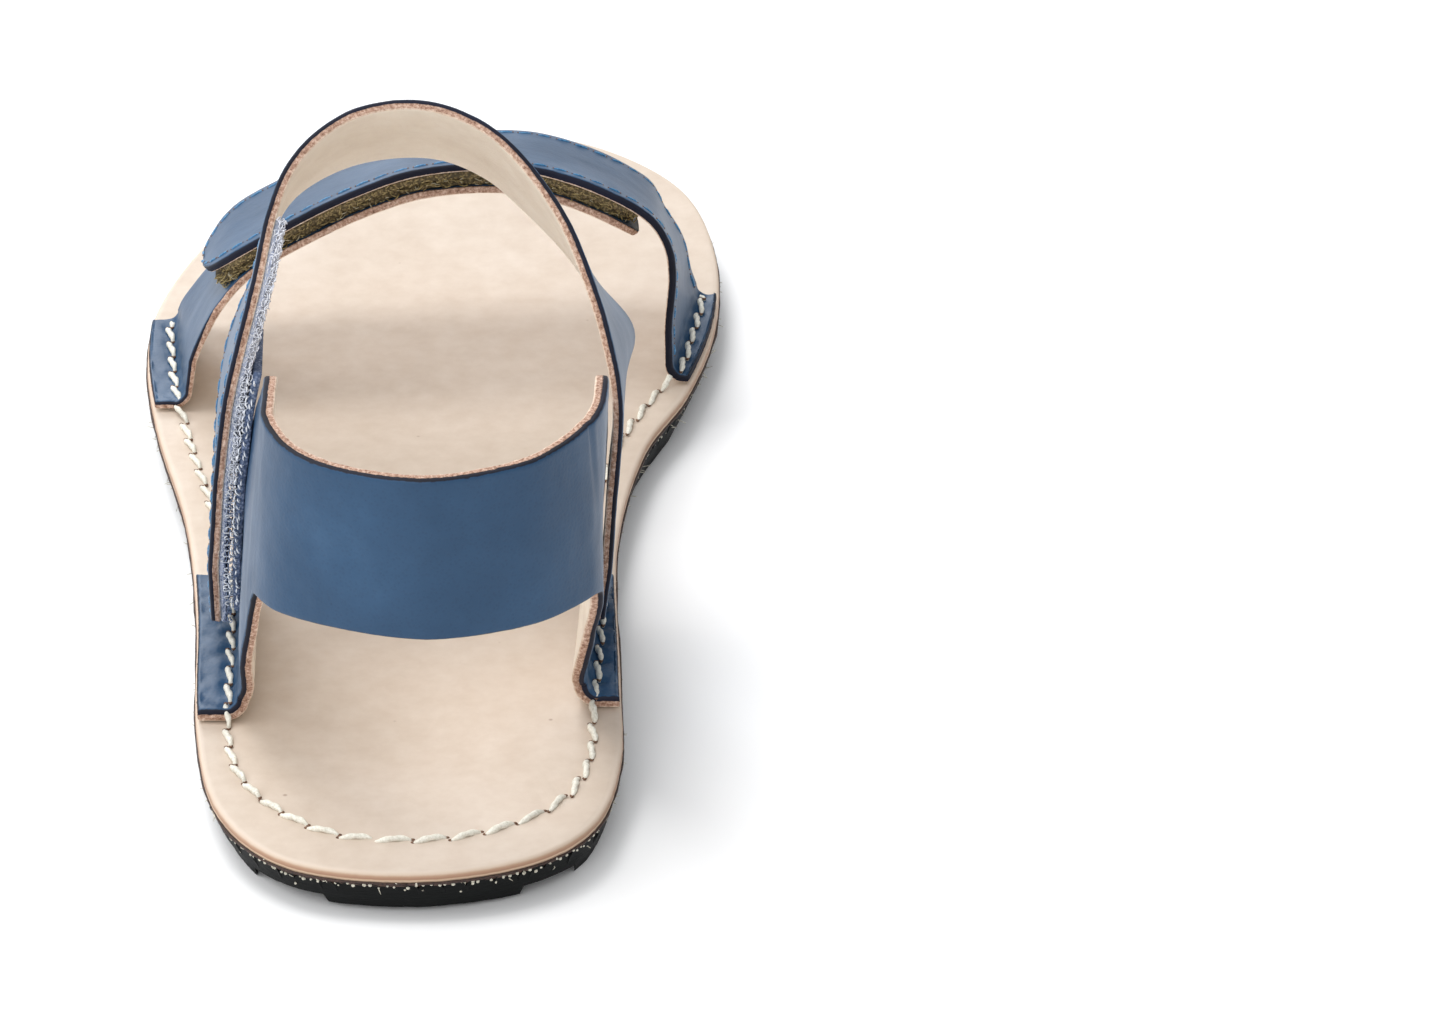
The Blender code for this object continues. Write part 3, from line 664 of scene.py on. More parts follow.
def tube(path, radius, sides, guide, lobes=0.0, turns=0.0):
    """Points and faces of a closed tube along a path; two lobes wind round it like twisted thread."""
    path = np.asarray(path, float)
    ahead = unit(np.gradient(path, axis=0))
    up = unit(guide - ahead * np.sum(ahead * guide, axis=1, keepdims=True))
    beside = np.cross(ahead, up)
    radius = np.broadcast_to(radius, len(path))
    angle = np.arange(sides) * 2 * np.pi / sides
    place = np.linspace(0, 1, len(path))[:, None]
    swell = 1 + lobes * (np.abs(np.cos(angle[None] - turns * np.pi * place)) - 0.6)
    ring = radius[:, None] * swell
    points = path[:, None] + ring[..., None] * (
        np.cos(angle)[None, :, None] * up[:, None] + np.sin(angle)[None, :, None] * beside[:, None]
    )
    index = np.arange(len(path) * sides).reshape(len(path), sides)
    turned = np.roll(index, -1, axis=1)
    walls = np.stack([index[:-1], turned[:-1], turned[1:], index[1:]], -1).reshape(-1, 4)
    faces = walls.tolist() + [index[0][::-1].tolist(), index[-1].tolist()]
    return points.reshape(-1, 3), faces


def joined(parts):
    """One set of points and faces from many."""
    points, faces, start = [], [], 0
    for some, their in parts:
        points.append(some)
        faces += [[start + corner for corner in face] for face in their]
        start += len(some)
    return np.vstack(points), faces


def even_places(path, step, ends=0.0):
    """Places along a path about a step apart, with the path's own direction index for each."""
    length = np.concatenate([[0], np.cumsum(np.linalg.norm(np.diff(path, axis=0), axis=1))])
    count = max(int(round((length[-1] - 2 * ends) / step)), 1)
    return np.linspace(ends, length[-1] - ends, count + 1), length


def sampled(path, length, places):
    return np.stack([np.interp(places, length, path[:, axis]) for axis in range(path.shape[1])], 1)


def stitches(path, normals, step, gap, thread, rise, slant, lobes, turns, seed, sink=1.0, dent=0.55):
    """Threads over the surface, the dents of the holes they dive into, and dark plugs in those holes that paint the
    holes' shade, along a path.
    """
    rng = np.random.default_rng(seed)
    places, length = even_places(path, step)
    threads, hole_shades, dents = [], [], []
    for start, end in zip(places[:-1], places[1:]):
        ends = np.array([start + gap / 2, end - gap / 2]) + rng.normal(0, 0.03 * step, 2)
        (a, b), (na, nb) = sampled(path, length, ends), sampled(normals, length, ends)
        side = unit(np.cross(b - a, na + nb))
        turn = slant * (1 + rng.normal(0, 0.25))
        t = np.linspace(0, 1, 13)[:, None]
        line = a * (1 - t) + b * t
        up = unit(na * (1 - t) + nb * t)
        arc = np.sin(np.pi * np.clip(t, 0, 1)) ** 0.45
        sway = side * turn * (1 - 2 * t) + side * 0.25 * thread * np.sin(2 * np.pi * t)
        height = (rise + thread * 0.45) * arc - sink * thread * (1 - arc)
        thick = thread * (0.45 + 0.55 * np.sin(np.pi * t[:, 0]) ** 0.6) * (1 + rng.normal(0, 0.05))
        threads.append(tube(line + sway + up * height, thick, 12, up, lobes, turns))
        # Each hole gets a short dark plug whose colour is painted shade inside the needle hole.
        for place, way in ((a + side * turn, na), (b - side * turn, nb)):
            hole_shade = place + way * 0.00002
            hole_shades.append(tube(np.array([hole_shade - way * 0.0004, hole_shade]), [0.3 * thread, 0.75 * thread], 10, b - a))
            dents.append((place, dent * thread, 1.9 * thread))
    return threads, hole_shades, dents


# Materials


def srgb(red, green, blue):
    """Linear colour from a screen colour of 0 to 255."""
    share = np.array([red, green, blue]) / 255
    linear = np.where(share <= 0.04045, share / 12.92, ((share + 0.055) / 1.055) ** 2.4)
    return (*linear.tolist(), 1.0)


def new_material(name):
    made = bpy.data.materials.new(name)
    made.use_nodes = True
    return made, made.node_tree, made.node_tree.nodes["Principled BSDF"]


def node(tree, kind, inputs=(), **settings):
    made = tree.nodes.new(kind)
    for key, value in settings.items():
        setattr(made, key, value)
    for key, value in dict(inputs).items():
        if isinstance(value, bpy.types.NodeSocket):
            tree.links.new(value, made.inputs[key])
        else:
            made.inputs[key].default_value = value
    return made


def place_of(tree, scale=(1, 1, 1)):
    where = node(tree, "ShaderNodeTexCoord").outputs["Object"]
    return node(tree, "ShaderNodeMapping", {"Vector": where, "Scale": scale}).outputs["Vector"]


def noise_value(tree, scale, detail=4.0, rough=0.6, stretch=(1, 1, 1)):
    inputs = {"Vector": place_of(tree, stretch), "Scale": scale, "Detail": detail, "Roughness": rough}
    return node(tree, "ShaderNodeTexNoise", inputs).outputs["Fac"]


def cells_value(tree, scale, feature="F1", stretch=(1, 1, 1)):
    inputs = {"Vector": place_of(tree, stretch), "Scale": scale}
    return node(tree, "ShaderNodeTexVoronoi", inputs, feature=feature).outputs["Distance"]


def ramp(tree, value, stops, out="Color", smooth="LINEAR"):
    made = node(tree, "ShaderNodeValToRGB", {"Fac": value})
    made.color_ramp.interpolation = smooth
    elements = made.color_ramp.elements
    while len(elements) < len(stops):
        elements.new(0.5)
    for element, (place, colour) in zip(elements, stops):
        element.position = place
        element.color = colour if isinstance(colour, tuple) else (colour, colour, colour, 1.0)
    return made.outputs[out]


def maths(tree, operation, first, second, third=None, clamp=False):
    values = {0: first, 1: second}
    if third is not None:
        values[2] = third
    return node(tree, "ShaderNodeMath", values, operation=operation, use_clamp=clamp).outputs[0]


def mixed(tree, share, first, second, blend="MIX"):
    inputs = {0: share, 6: first, 7: second}
    return node(tree, "ShaderNodeMix", inputs, data_type="RGBA", blend_type=blend).outputs[2]


def bumped(tree, shader, layers):
    """Chains bumps of (height, strength, distance) into the shader's normal."""
    last = None
    for height, strength, distance in layers:
        inputs = {"Height": height, "Strength": strength, "Distance": distance}
        if last is not None:
            inputs["Normal"] = last
        last = node(tree, "ShaderNodeBump", inputs).outputs["Normal"]
    tree.links.new(last, shader.inputs["Normal"])


def linked(tree, shader, **sockets):
    for key, value in sockets.items():
        tree.links.new(value, shader.inputs[key.replace("_", " ")])


def strap_leather():
    """Blue finished face, navy then raw tan across the cut edge, undyed back."""
    found = bpy.data.materials.get("strap_leather")
    if found:
        return found
    made, tree, shader = new_material("strap_leather")
    through = node(tree, "ShaderNodeAttribute", attribute_name="through").outputs["Fac"]
    ragged = noise_value(tree, 900.0, 3.0)
    wander = noise_value(tree, 120.0, 2.0)
    depth = maths(tree, "MULTIPLY_ADD", ragged, 0.14, through)
    depth = maths(tree, "MULTIPLY_ADD", wander, 0.10, depth)
    depth = maths(tree, "SUBTRACT", depth, 0.12)
    dyed = node(tree, "ShaderNodeAttribute", attribute_name="dyed").outputs["Fac"]
    undyed = maths(tree, "SUBTRACT", maths(tree, "ADD", depth, 0.45), dyed)
    cloudy = noise_value(tree, 34.0, 5.0)
    grain = cells_value(tree, 1500.0)
    blue = ramp(tree, cloudy, ((0.30, srgb(30, 62, 92)), (0.52, srgb(37, 71, 103)), (0.72, srgb(48, 84, 118))))
    pores = ramp(tree, grain, ((0.05, 0.72), (0.45, 1.0)))
    blue = mixed(tree, 0.45, blue, pores, "MULTIPLY")
    fibres = noise_value(tree, 1700.0, 3.0, 0.7)
    tan = ramp(tree, fibres, ((0.30, srgb(120, 88, 72)), (0.47, srgb(174, 138, 118)), (0.68, srgb(222, 194, 176))))
    back_mottle = noise_value(tree, 90.0, 6.0, 0.65)
    back = ramp(tree, back_mottle, ((0.32, srgb(229, 216, 200)), (0.55, srgb(238, 227, 212)), (0.75, srgb(243, 234, 221))))
    rim = ramp(tree, fibres, ((0.35, srgb(205, 175, 152)), (0.65, srgb(238, 220, 203))))
    navy = ramp(tree, cloudy, ((0.35, srgb(10, 12, 26)), (0.65, srgb(18, 22, 42))))
    colour = mixed(tree, ramp(tree, depth, ((0.040, 0.0), (0.080, 1.0))), blue, navy)
    colour = mixed(tree, ramp(tree, undyed, ((0.42, 0.0), (0.47, 1.0))), colour, tan)
    colour = mixed(tree, ramp(tree, depth, ((0.84, 0.0), (0.93, 1.0))), colour, rim)
    colour = mixed(tree, ramp(tree, through, ((0.97, 0.0), (0.995, 1.0))), colour, back)
    polish = ramp(tree, cloudy, ((0.3, 0.46), (0.7, 0.37)))
    worn = ramp(tree, through, ((0.04, 0.0), (0.12, 0.6), (0.50, 1.0)))
    rough = maths(tree, "MULTIPLY_ADD", worn, 0.45, polish)
    linked(tree, shader, Base_Color=colour, Roughness=rough)
    on_face = ramp(tree, through, ((0.02, 1.0), (0.10, 0.0)))
    face_grain = maths(tree, "MULTIPLY", grain, on_face)
    raw = ramp(tree, undyed, ((0.44, 0.0), (0.50, 1.0)))
    torn = maths(tree, "MULTIPLY", fibres, raw)
    bumped(
        tree, shader,
        ((noise_value(tree, 260.0, 4.0), 0.20, 0.0003), (face_grain, 0.16, 0.00012), (torn, 0.8, 0.0004)),
    )
    shader.inputs["Specular IOR Level"].default_value = 0.32
    return made


def natural_leather():
    """Undyed footbed leather, with a burnished edge."""
    made, tree, shader = new_material("natural_leather_board")
    rim = node(tree, "ShaderNodeAttribute", attribute_name="rim").outputs["Fac"]
    uneven = noise_value(tree, 420.0, 4.0)
    depth = maths(tree, "MULTIPLY_ADD", maths(tree, "SUBTRACT", uneven, 0.5), 0.13, rim)
    broad = noise_value(tree, 16.0, 4.0)
    fine = noise_value(tree, 240.0, 6.0, 0.65)
    top = ramp(tree, broad, ((0.30, srgb(200, 186, 171)), (0.52, srgb(206, 192, 178)), (0.72, srgb(212, 200, 188))))
    top = mixed(tree, 0.35, top, ramp(tree, fine, ((0.3, srgb(222, 208, 194)), (0.7, srgb(250, 246, 240)))), "MULTIPLY")
    speck = ramp(tree, cells_value(tree, 95.0), ((0.020, srgb(150, 112, 88)), (0.045, (1.0, 1.0, 1.0, 1.0))))
    top = mixed(tree, 0.5, top, speck, "MULTIPLY")
    edge = ramp(
        tree, depth,
        ((0.06, srgb(209, 194, 179)), (0.30, srgb(202, 182, 162)), (0.50, srgb(174, 140, 114)),
         (0.72, srgb(154, 116, 92)), (0.84, srgb(204, 176, 148)), (0.97, srgb(70, 48, 38))),
    )
    colour = mixed(tree, ramp(tree, rim, ((0.01, 0.0), (0.16, 1.0))), top, edge)
    rough = ramp(tree, fine, ((0.3, 0.62), (0.7, 0.50)))
    linked(tree, shader, Base_Color=colour, Roughness=rough)
    bumped(tree, shader, ((fine, 0.12, 0.0002), (cells_value(tree, 1300.0), 0.08, 0.0001)))
    return made


def rubber():
    made, tree, shader = new_material("tyre_rubber")
    blotch = noise_value(tree, 60.0, 5.0)
    streak = noise_value(tree, 420.0, 4.0, 0.6, (1.0, 1.0, 5.0))
    colour = ramp(tree, blotch, ((0.30, srgb(2, 4, 5)), (0.55, srgb(5, 8, 8)), (0.75, srgb(11, 14, 14))))
    dust = ramp(tree, streak, ((0.35, srgb(200, 200, 200)), (0.70, (1.0, 1.0, 1.0, 1.0))))
    colour = mixed(tree, 0.6, colour, dust, "MULTIPLY")
    rough = ramp(tree, blotch, ((0.3, 0.62), (0.7, 0.80)))
    linked(tree, shader, Base_Color=colour, Roughness=rough)
    shader.inputs["Specular IOR Level"].default_value = 0.2
    bumped(tree, shader, ((streak, 0.35, 0.0003), (noise_value(tree, 1500.0, 3.0), 0.25, 0.00015)))
    return made


def thread_material(name, dark, light, rough, scale=2600.0):
    """Twisted thread, pile or fibre: fine streaks between two colours."""
    made, tree, shader = new_material(name)
    strands = noise_value(tree, scale, 3.0)
    broad = noise_value(tree, 110.0, 3.0)
    colour = ramp(tree, strands, ((0.30, dark), (0.66, light)))
    shade = ramp(tree, broad, ((0.30, srgb(215, 215, 215)), (0.65, (1.0, 1.0, 1.0, 1.0))))
    linked(tree, shader, Base_Color=mixed(tree, 0.7, colour, shade, "MULTIPLY"))
    linked(tree, shader, Roughness=ramp(tree, strands, ((0.3, min(rough + 0.1, 1.0)), (0.7, rough))))
    bumped(tree, shader, ((strands, 0.3, 0.0001),))
    return made


def woven_tape(name, dark, light, rough=0.8):
    """Tape ground: a fine weave in the tape's own colour."""
    made, tree, shader = new_material(name)
    weave = cells_value(tree, 1900.0, "F1")
    broad = noise_value(tree, 160.0, 4.0)
    colour = ramp(tree, weave, ((0.15, light), (0.60, dark)))
    shade = ramp(tree, broad, ((0.30, srgb(190, 190, 190)), (0.70, (1.0, 1.0, 1.0, 1.0))))
    linked(tree, shader, Base_Color=mixed(tree, 0.8, colour, shade, "MULTIPLY"))
    linked(tree, shader, Roughness=ramp(tree, broad, ((0.3, rough), (0.7, min(rough + 0.12, 1.0)))))
    bumped(tree, shader, ((weave, 0.7, 0.0003),))
    return made


def floor_material():
    made, tree, shader = new_material("pale_floor")
    faint = noise_value(tree, 3.0, 2.0)
    colour = ramp(tree, faint, ((0.3, srgb(247, 247, 248)), (0.7, srgb(250, 250, 250))))
    linked(tree, shader, Base_Color=colour, Roughness=ramp(tree, faint, ((0.3, 0.85), (0.7, 0.9))))
    shader.inputs["Specular IOR Level"].default_value = 0.1
    return made


# Sole


def inward_rings(loop, insets):
    """Rings inside a closed plan loop, each this far in from it."""
    ahead = unit(np.roll(loop, -1, axis=0) - np.roll(loop, 1, axis=0))
    inward = np.stack([-ahead[:, 1], ahead[:, 0]], 1)
    return [loop + inward * inset for inset in insets]


def footbed(dents):
    """The leather board: rings from its burnished edge to its middle, hollowed under the heel."""
    loop = outline()
    spine_y = np.clip(loop[:, 1], 0.30 * SOLE_LENGTH, 0.69 * SOLE_LENGTH)
    spine = np.stack([np.full(len(loop), 0.0), spine_y], 1)
    near = (0.00012, 0.0004, 0.0008, 0.0013, 0.0019, 0.0026, 0.0034, 0.0042, 0.0050, 0.0058, 0.0066)
    edge = [
        (0.0004, -FOOTBED_THICK, 1.0), (0.0002, -FOOTBED_THICK * 0.96, 1.0), (0.00004, -EDGE_LEATHER, 0.97),
        (0.0, -0.80 * EDGE_LEATHER, 0.88), (0.0, -0.62 * EDGE_LEATHER, 0.74), (0.00004, -0.46 * EDGE_LEATHER, 0.60),
        (0.00008, -0.32 * EDGE_LEATHER, 0.46), (0.00018, -0.19 * EDGE_LEATHER, 0.32),
        (0.00036, -0.08 * EDGE_LEATHER, 0.20), (0.00066, -0.02 * EDGE_LEATHER, 0.09),
    ]
    rows = [(ring, depth, rim) for (inset, depth, rim), ring in zip(edge, inward_rings(loop, [e[0] for e in edge]))]
    insets = [0.0011 + inset for inset in near]
    rows += [(ring, 0.0, 0.0) for ring in inward_rings(loop, insets)]
    last = rows[-1][0]
    waved = [1.0] * len(rows)
    for share in (0.92, 0.82, 0.72, 0.62, 0.52, 0.42, 0.32, 0.22, 0.12, 0.03):
        rows.append((spine + (last - spine) * share, 0.0, 0.0))
        waved.append(min(2.0 * max(share - 0.12, 0.0), 1.0))
    rng = np.random.default_rng(11)
    points, rim = [], []
    for ring, depth, value in rows:
        across, along = ring[:, 0], ring[:, 1]
        fall = heel_cup(across, along) if depth > -0.5 * EDGE_LEATHER else 0.0
        uneven = rng.normal(0, 0.00002, len(ring)) if value > 0.4 else 0.0
        points.append(np.stack([across + uneven, along, depth - fall + 0 * across], 1))
        rim.append(np.full(len(ring), value))
    count = len(loop)
    index = np.arange(len(rows) * count).reshape(len(rows), count)
    turned = np.roll(index, -1, axis=1)
    faces = np.stack([index[:-1], turned[:-1], turned[1:], index[1:]], -1).reshape(-1, 4).tolist()
    faces.append(index[-1].tolist())
    faces.append(index[0][::-1].tolist())
    points = placed(np.vstack(points))
    sunk = pressed(points, dents)
    gentle = 0.00012 * fractal(points, 0.016, 5, 2) * (np.concatenate(rim) == 0)
    points[:, 2] -= sunk + np.maximum(gentle, -0.00005) * np.repeat(waved, count)
    values = {"rim": np.concatenate(rim)}
    return mesh_piece("footbed_board", points, faces, [natural_leather()], ("footbed",), values)


def bend_outsole(points):
    """Raises the toe, hollows the top, lifts the waist and rounds the tread's edges up."""
    x, y, z = points.T
    depth = np.clip(-z / OUTSOLE_THICK, 0, 1)
    middle = 0.043 * BALL_WIDTH
    narrow = 1 - depth * UNDERCUT / (0.35 * BALL_WIDTH)
    shorter = 1 - depth * UNDERCUT / (0.45 * SOLE_LENGTH)
    waist = WAIST_RISE * smooth_step(y, 0.27 * SOLE_LENGTH, 0.38 * SOLE_LENGTH)
    waist *= 1 - smooth_step(y, 0.46 * SOLE_LENGTH, 0.56 * SOLE_LENGTH)
    rocker = HEEL_ROCKER * (1 - smooth_step(y, 0.0, 0.05 * SOLE_LENGTH))
    crown = TREAD_CROWN * smooth_step(abs(x - middle), 0.22 * BALL_WIDTH, 0.52 * BALL_WIDTH)
    rise = depth * (waist + rocker + crown) - (1 - depth) * heel_cup(x, y)
    x = middle + (x - middle) * narrow
    y = 0.5 * SOLE_LENGTH + (y - 0.5 * SOLE_LENGTH) * shorter
    return np.stack([x, y, z + OUTSOLE_THICK + toe_lift(y) + rise], 1) + SHIFT


def block(centre, size):
    """A wedge-sided block, wider at the tread than at the groove's floor."""
    shape = bmesh.new()
    bmesh.ops.create_cube(shape, size=1.0)
    bmesh.ops.scale(shape, verts=shape.verts, vec=size)
    for vertex in shape.verts:
        if vertex.co.z > 0:
            vertex.co.x -= np.sign(vertex.co.x) * GROOVE_FLARE
            vertex.co.y -= np.sign(vertex.co.y) * GROOVE_FLARE
    bmesh.ops.translate(shape, verts=shape.verts, vec=centre)
    mesh = bpy.data.meshes.new("cutter")
    shape.to_mesh(mesh)
    shape.free()
    cutter = bpy.data.objects.new("cutter", mesh)
    bpy.context.scene.collection.objects.link(cutter)
    return cutter


def outsole():
    """Grooved rubber slab, its upper edge raised to the skived leather."""
    shape = bmesh.new()
    ring = [shape.verts.new((x, y, -OUTSOLE_THICK)) for x, y in outline()]
    face = shape.faces.new(ring)
    raised = bmesh.ops.extrude_face_region(shape, geom=[face])["geom"]
    upper = [item for item in raised if isinstance(item, bmesh.types.BMVert)]
    bmesh.ops.translate(shape, verts=upper, vec=(0, 0, OUTSOLE_THICK))
    bmesh.ops.recalc_face_normals(shape, faces=shape.faces)
    mesh = bpy.data.meshes.new("slab")
    shape.to_mesh(mesh)
    shape.free()
    slab = bpy.data.objects.new("slab", mesh)
    bpy.context.scene.collection.objects.link(slab)
    cutters = []
    for across, width in GROOVES:
        centre = (across * BALL_WIDTH, 0.5 * SOLE_LENGTH, -OUTSOLE_THICK)
        cutters.append(block(centre, (width * BALL_WIDTH, 1.2 * SOLE_LENGTH, 2 * GROOVE_DEPTH)))
    reach = 0.5 * BALL_WIDTH
    for side, along in NOTCHES:
        inner = GROOVES[0][0] * BALL_WIDTH if side < 0 else GROOVES[1][0] * BALL_WIDTH
        centre = (inner + side * reach / 2, along * SOLE_LENGTH, -OUTSOLE_THICK)
        cutters.append(block(centre, (reach, NOTCH_WIDTH, 2 * GROOVE_DEPTH)))
    for cutter in cutters:
        modifier = slab.modifiers.new("cut", "BOOLEAN")
        modifier.operation = "DIFFERENCE"
        modifier.solver = "EXACT"
        modifier.object = cutter
    bpy.context.view_layer.update()
    graph = bpy.context.evaluated_depsgraph_get()
    cut = bpy.data.meshes.new_from_object(slab.evaluated_get(graph))
    for thing in [slab, *cutters]:
        bpy.data.objects.remove(thing, do_unlink=True)
    shape = bmesh.new()
    shape.from_mesh(cut)
    for axis, reach in ((0, BALL_WIDTH), (1, SOLE_LENGTH), (2, OUTSOLE_THICK)):
        normal, point = [0.0, 0.0, 0.0], [0.0, 0.0, 0.0]
        normal[axis] = 1.0
        step = 0.0015 if axis == 2 else 0.004
        low = {0: -0.55 * BALL_WIDTH, 1: 0.0005, 2: -OUTSOLE_THICK}[axis]
        for place in np.arange(low + 0.0007, low + 1.1 * reach, step):
            if axis == 2 and place > -0.0008:
                break
            point[axis] = place
            geom = shape.verts[:] + shape.edges[:] + shape.faces[:]
            bmesh.ops.bisect_plane(shape, geom=geom, plane_co=point, plane_no=normal, dist=1e-6)
    bmesh.ops.remove_doubles(shape, verts=shape.verts, dist=2e-5)
    bmesh.ops.triangulate(shape, faces=shape.faces)
    shape.verts.ensure_lookup_table()
    points = np.array([tuple(vertex.co) for vertex in shape.verts])
    faces = [[vertex.index for vertex in face.verts] for face in shape.faces]
    shape.free()
    top_edge = points[:, 2] > -0.0001
    loop = outline()
    far = np.array([np.hypot(*(loop - p[:2]).T).min() for p in points])
    bent = bend_outsole(points)
    bent[:, 2] += (FOOTBED_THICK - EDGE_LEATHER + GAP) * (top_edge & (far < 0.0002))
    rough = fractal(bent, 0.004, 3, 3) * 0.00012
    on_side = far < 0.0006
    away = unit(np.stack([bent[:, 0] - SHIFT[0] - 0.0045, (bent[:, 1]) * 0.35, 0 * rough], 1))
    bent += away * (rough * on_side)[:, None]
    piece = mesh_piece("outsole_rubber", bent, faces, [rubber()], ("outsole",), smooth=True)
    piece.data.set_sharp_from_angle(angle=np.radians(35))
    return piece


# Stitches, pile and fibres


def flange_feet():
    """For each sewn flange: side, lowest and highest along, along values, across of its bend, top."""
    found = []
    for grid, _ in heel_grids()[1:]:
        feet = grid[:, 7]
        side = -1 if feet[0, 0] < 0 else 1
        found.append((side, feet[:, 1].min(), feet[:, 1].max(), feet, HEEL_FLANGE_TOP))
    over, below, _, _ = front_faces()
    for side, grid in ((1, over), (-1, below)):
        feet = grid[7]
        found.append((side, feet[:, 1].min(), feet[:, 1].max(), feet, FLANGE_TOP))
    return found


def welt_line():
    """The white seam round the sole: over each flange at the foot of its bend, else on the footbed."""
    loop = outline()
    inset = WELT_INSET + (WELT_HEEL_INSET - WELT_INSET) * (1 - smooth_step(loop[:, 1], 0.004, 0.036))
    ahead = unit(np.roll(loop, -1, axis=0) - np.roll(loop, 1, axis=0))
    line = loop + np.stack([-ahead[:, 1], ahead[:, 0]], 1) * inset[:, None]
    outer = line[:, 0] < 0.0015
    limit = np.where(outer, *WELT_ENDS)
    half = len(loop) // 2
    line = np.roll(line, half, axis=0)
    keep = np.roll(loop[:, 1] < limit, half)
    line = line[keep]
    points = np.column_stack([line, np.zeros(len(line))])
    places, length = even_places(points, 0.0008)
    points = sampled(points, length, places)
    for side, low, high, feet, top in flange_feet():
        feet = feet[np.argsort(feet[:, 1])]
        here = (np.sign(points[:, 0]) == side) & (points[:, 1] > low) & (points[:, 1] < high)
        points[here, 0] = np.interp(points[here, 1], feet[:, 1], feet[:, 0]) + side * WELT_FROM_BEND
        points[here, 2] = top
    smoothed = points.copy()
    for _ in range(3):
        smoothed[1:-1, :2] = (smoothed[:-2, :2] + smoothed[1:-1, :2] + smoothed[2:, :2]) / 3
    smoothed[:, 2] -= np.where(smoothed[:, 2] > 0, 0, heel_cup(smoothed[:, 0], smoothed[:, 1]))
    return placed(smoothed)


def line_on(grid, inset, from_front=True, start=0.0, end=1.0):
    """A line on a grid's face at a distance from its front or back edge, with its normals."""
    width = np.linalg.norm(grid[:, -1] - grid[:, 0], axis=1)
    share = inset / width
    share = 1 - share if from_front else share
    steps = len(grid)
    rows = slice(int(start * steps), int(end * steps))
    columns = edge_shares(grid.shape[1])
    normal = outward(grid)
    points = [[np.interp(s, columns, row[:, axis]) for axis in range(3)] for s, row in zip(share, grid)]
    ways = [[np.interp(s, columns, row[:, axis]) for axis in range(3)] for s, row in zip(share, normal)]
    return placed(points)[rows], unit(np.array(ways))[rows]


def seam(path, normals, seed):
    return stitches(path, normals, SEAM_STITCH, 0.0011, SEAM_THREAD, -0.00016, 0.0001, 0.25, 3.0, seed, 0.8, 0.08)


def curls(bases, outs, ways, size, radius, seed, sides=4):
    """Little loops of pile standing on the given places."""
    rng = np.random.default_rng(seed)
    made = []
    turn = np.linspace(-0.15, 2 * np.pi * 0.93, 7)
    for base, out, way in zip(bases, outs, ways):
        grow = size * rng.uniform(0.65, 1.25)
        lean = unit(way + rng.normal(0, 0.5, 3))
        tall = unit(out + rng.normal(0, 0.30, 3))
        wide = rng.uniform(0.35, 0.6)
        path = base + tall * (grow * 0.5 * (1 - np.cos(turn)))[:, None] + lean * (grow * wide * np.sin(turn))[:, None]
        path += np.cross(tall, lean) * (grow * rng.uniform(-0.3, 0.3) * turn / 6)[:, None]
        made.append(tube(path, radius, sides, unit(np.cross(tall, lean) + 0.01)))
    return made


def hooks(bases, outs, ways, height, bow, radius, seed):
    """J-shaped hooks standing on the given places, bent over along their ways."""
    rng = np.random.default_rng(seed)
    made = []
    for base, out, way in zip(bases, outs, ways):
        stem = height * rng.uniform(0.8, 1.1)
        over = unit(way + rng.normal(0, 0.25, 3)) * rng.choice((-1.0, 1.0))
        turn = np.linspace(0, np.pi * rng.uniform(0.9, 1.25), 6)
        rise = np.concatenate([[0.0, 0.6 * stem], stem + bow * np.sin(turn)])
        side = np.concatenate([[0.0, 0.0], bow * (1 - np.cos(turn))])
        path = base + out * rise[:, None] + over * side[:, None]
        made.append(tube(path, radius, 5, unit(np.cross(out, over) + 0.001)))
    return made


def grid_edge(grid, column, start=0, end=None):
    """One edge column of a grid in the frame, with the ways out of the edge, off the face and along."""
    points = placed(grid)
    normal = outward(grid)
    inner = 1 if column == 0 else -2
    out = unit(points[:, column] - points[:, inner])
    along = unit(np.gradient(points[:, column], axis=0))
    rows = slice(start, end)
    return points[rows, column], out[rows], normal[rows, column], along[rows]


def pile_on_edge(grid, column, thickness, step, size, radius, seed, layers, row_range=(0, None)):
    """Loops of pile all along a tape's edge, in layers through its thickness."""
    points, out, normal, along = grid_edge(grid, column, *row_range)
    places, length = even_places(points, step)
    made = []
    for number, layer in enumerate(layers):
        rng = np.random.default_rng(seed + number)
        spots = np.clip(places + rng.normal(0, 0.3 * step, len(places)), 0, length[-1])
        base = sampled(points, length, spots) - sampled(normal, length, spots) * (layer * thickness)
        base -= sampled(out, length, spots) * 0.75 * size
        made += curls(base, sampled(out, length, spots), sampled(along, length, spots), size, radius, seed + 50 + number)
    return made


def pile_on_face(grid, depth, inward, step, size, radius, seed, reach=(0.0, 1.0)):
    """Loops of pile scattered over a tape's face, or over its back where inward is -1."""
    rng = np.random.default_rng(seed)
    points, normal = placed(grid), outward(grid)
    rows = np.arange(int(reach[0] * len(grid)), int(reach[1] * len(grid)) - 1)
    length = lengths_along(grid)
    area = (length[rows[-1]] - length[rows[0]]) * np.linalg.norm(grid[0, -1] - grid[0, 0])
    count = int(area / step**2)
    row = rng.uniform(rows[0], rows[-1], count)
    column = rng.uniform(0, grid.shape[1] - 1.001, count)
    r, c = row.astype(int), column.astype(int)
    u, v = (row - r)[:, None], (column - c)[:, None]
    base = (points[r, c] * (1 - u) + points[r + 1, c] * u) * (1 - v)
    base += (points[r, c + 1] * (1 - u) + points[r + 1, c + 1] * u) * v
    out = normal[r, c] * inward
    along = unit(points[r + 1, c] - points[r, c])
    base = base - normal[r, c] * depth
    return curls(base, out, along, size, radius, seed + 1, sides=3)


def added_piece(name, parts, made):
    points, faces = joined(parts)
    return mesh_piece(name, points, faces, [made])


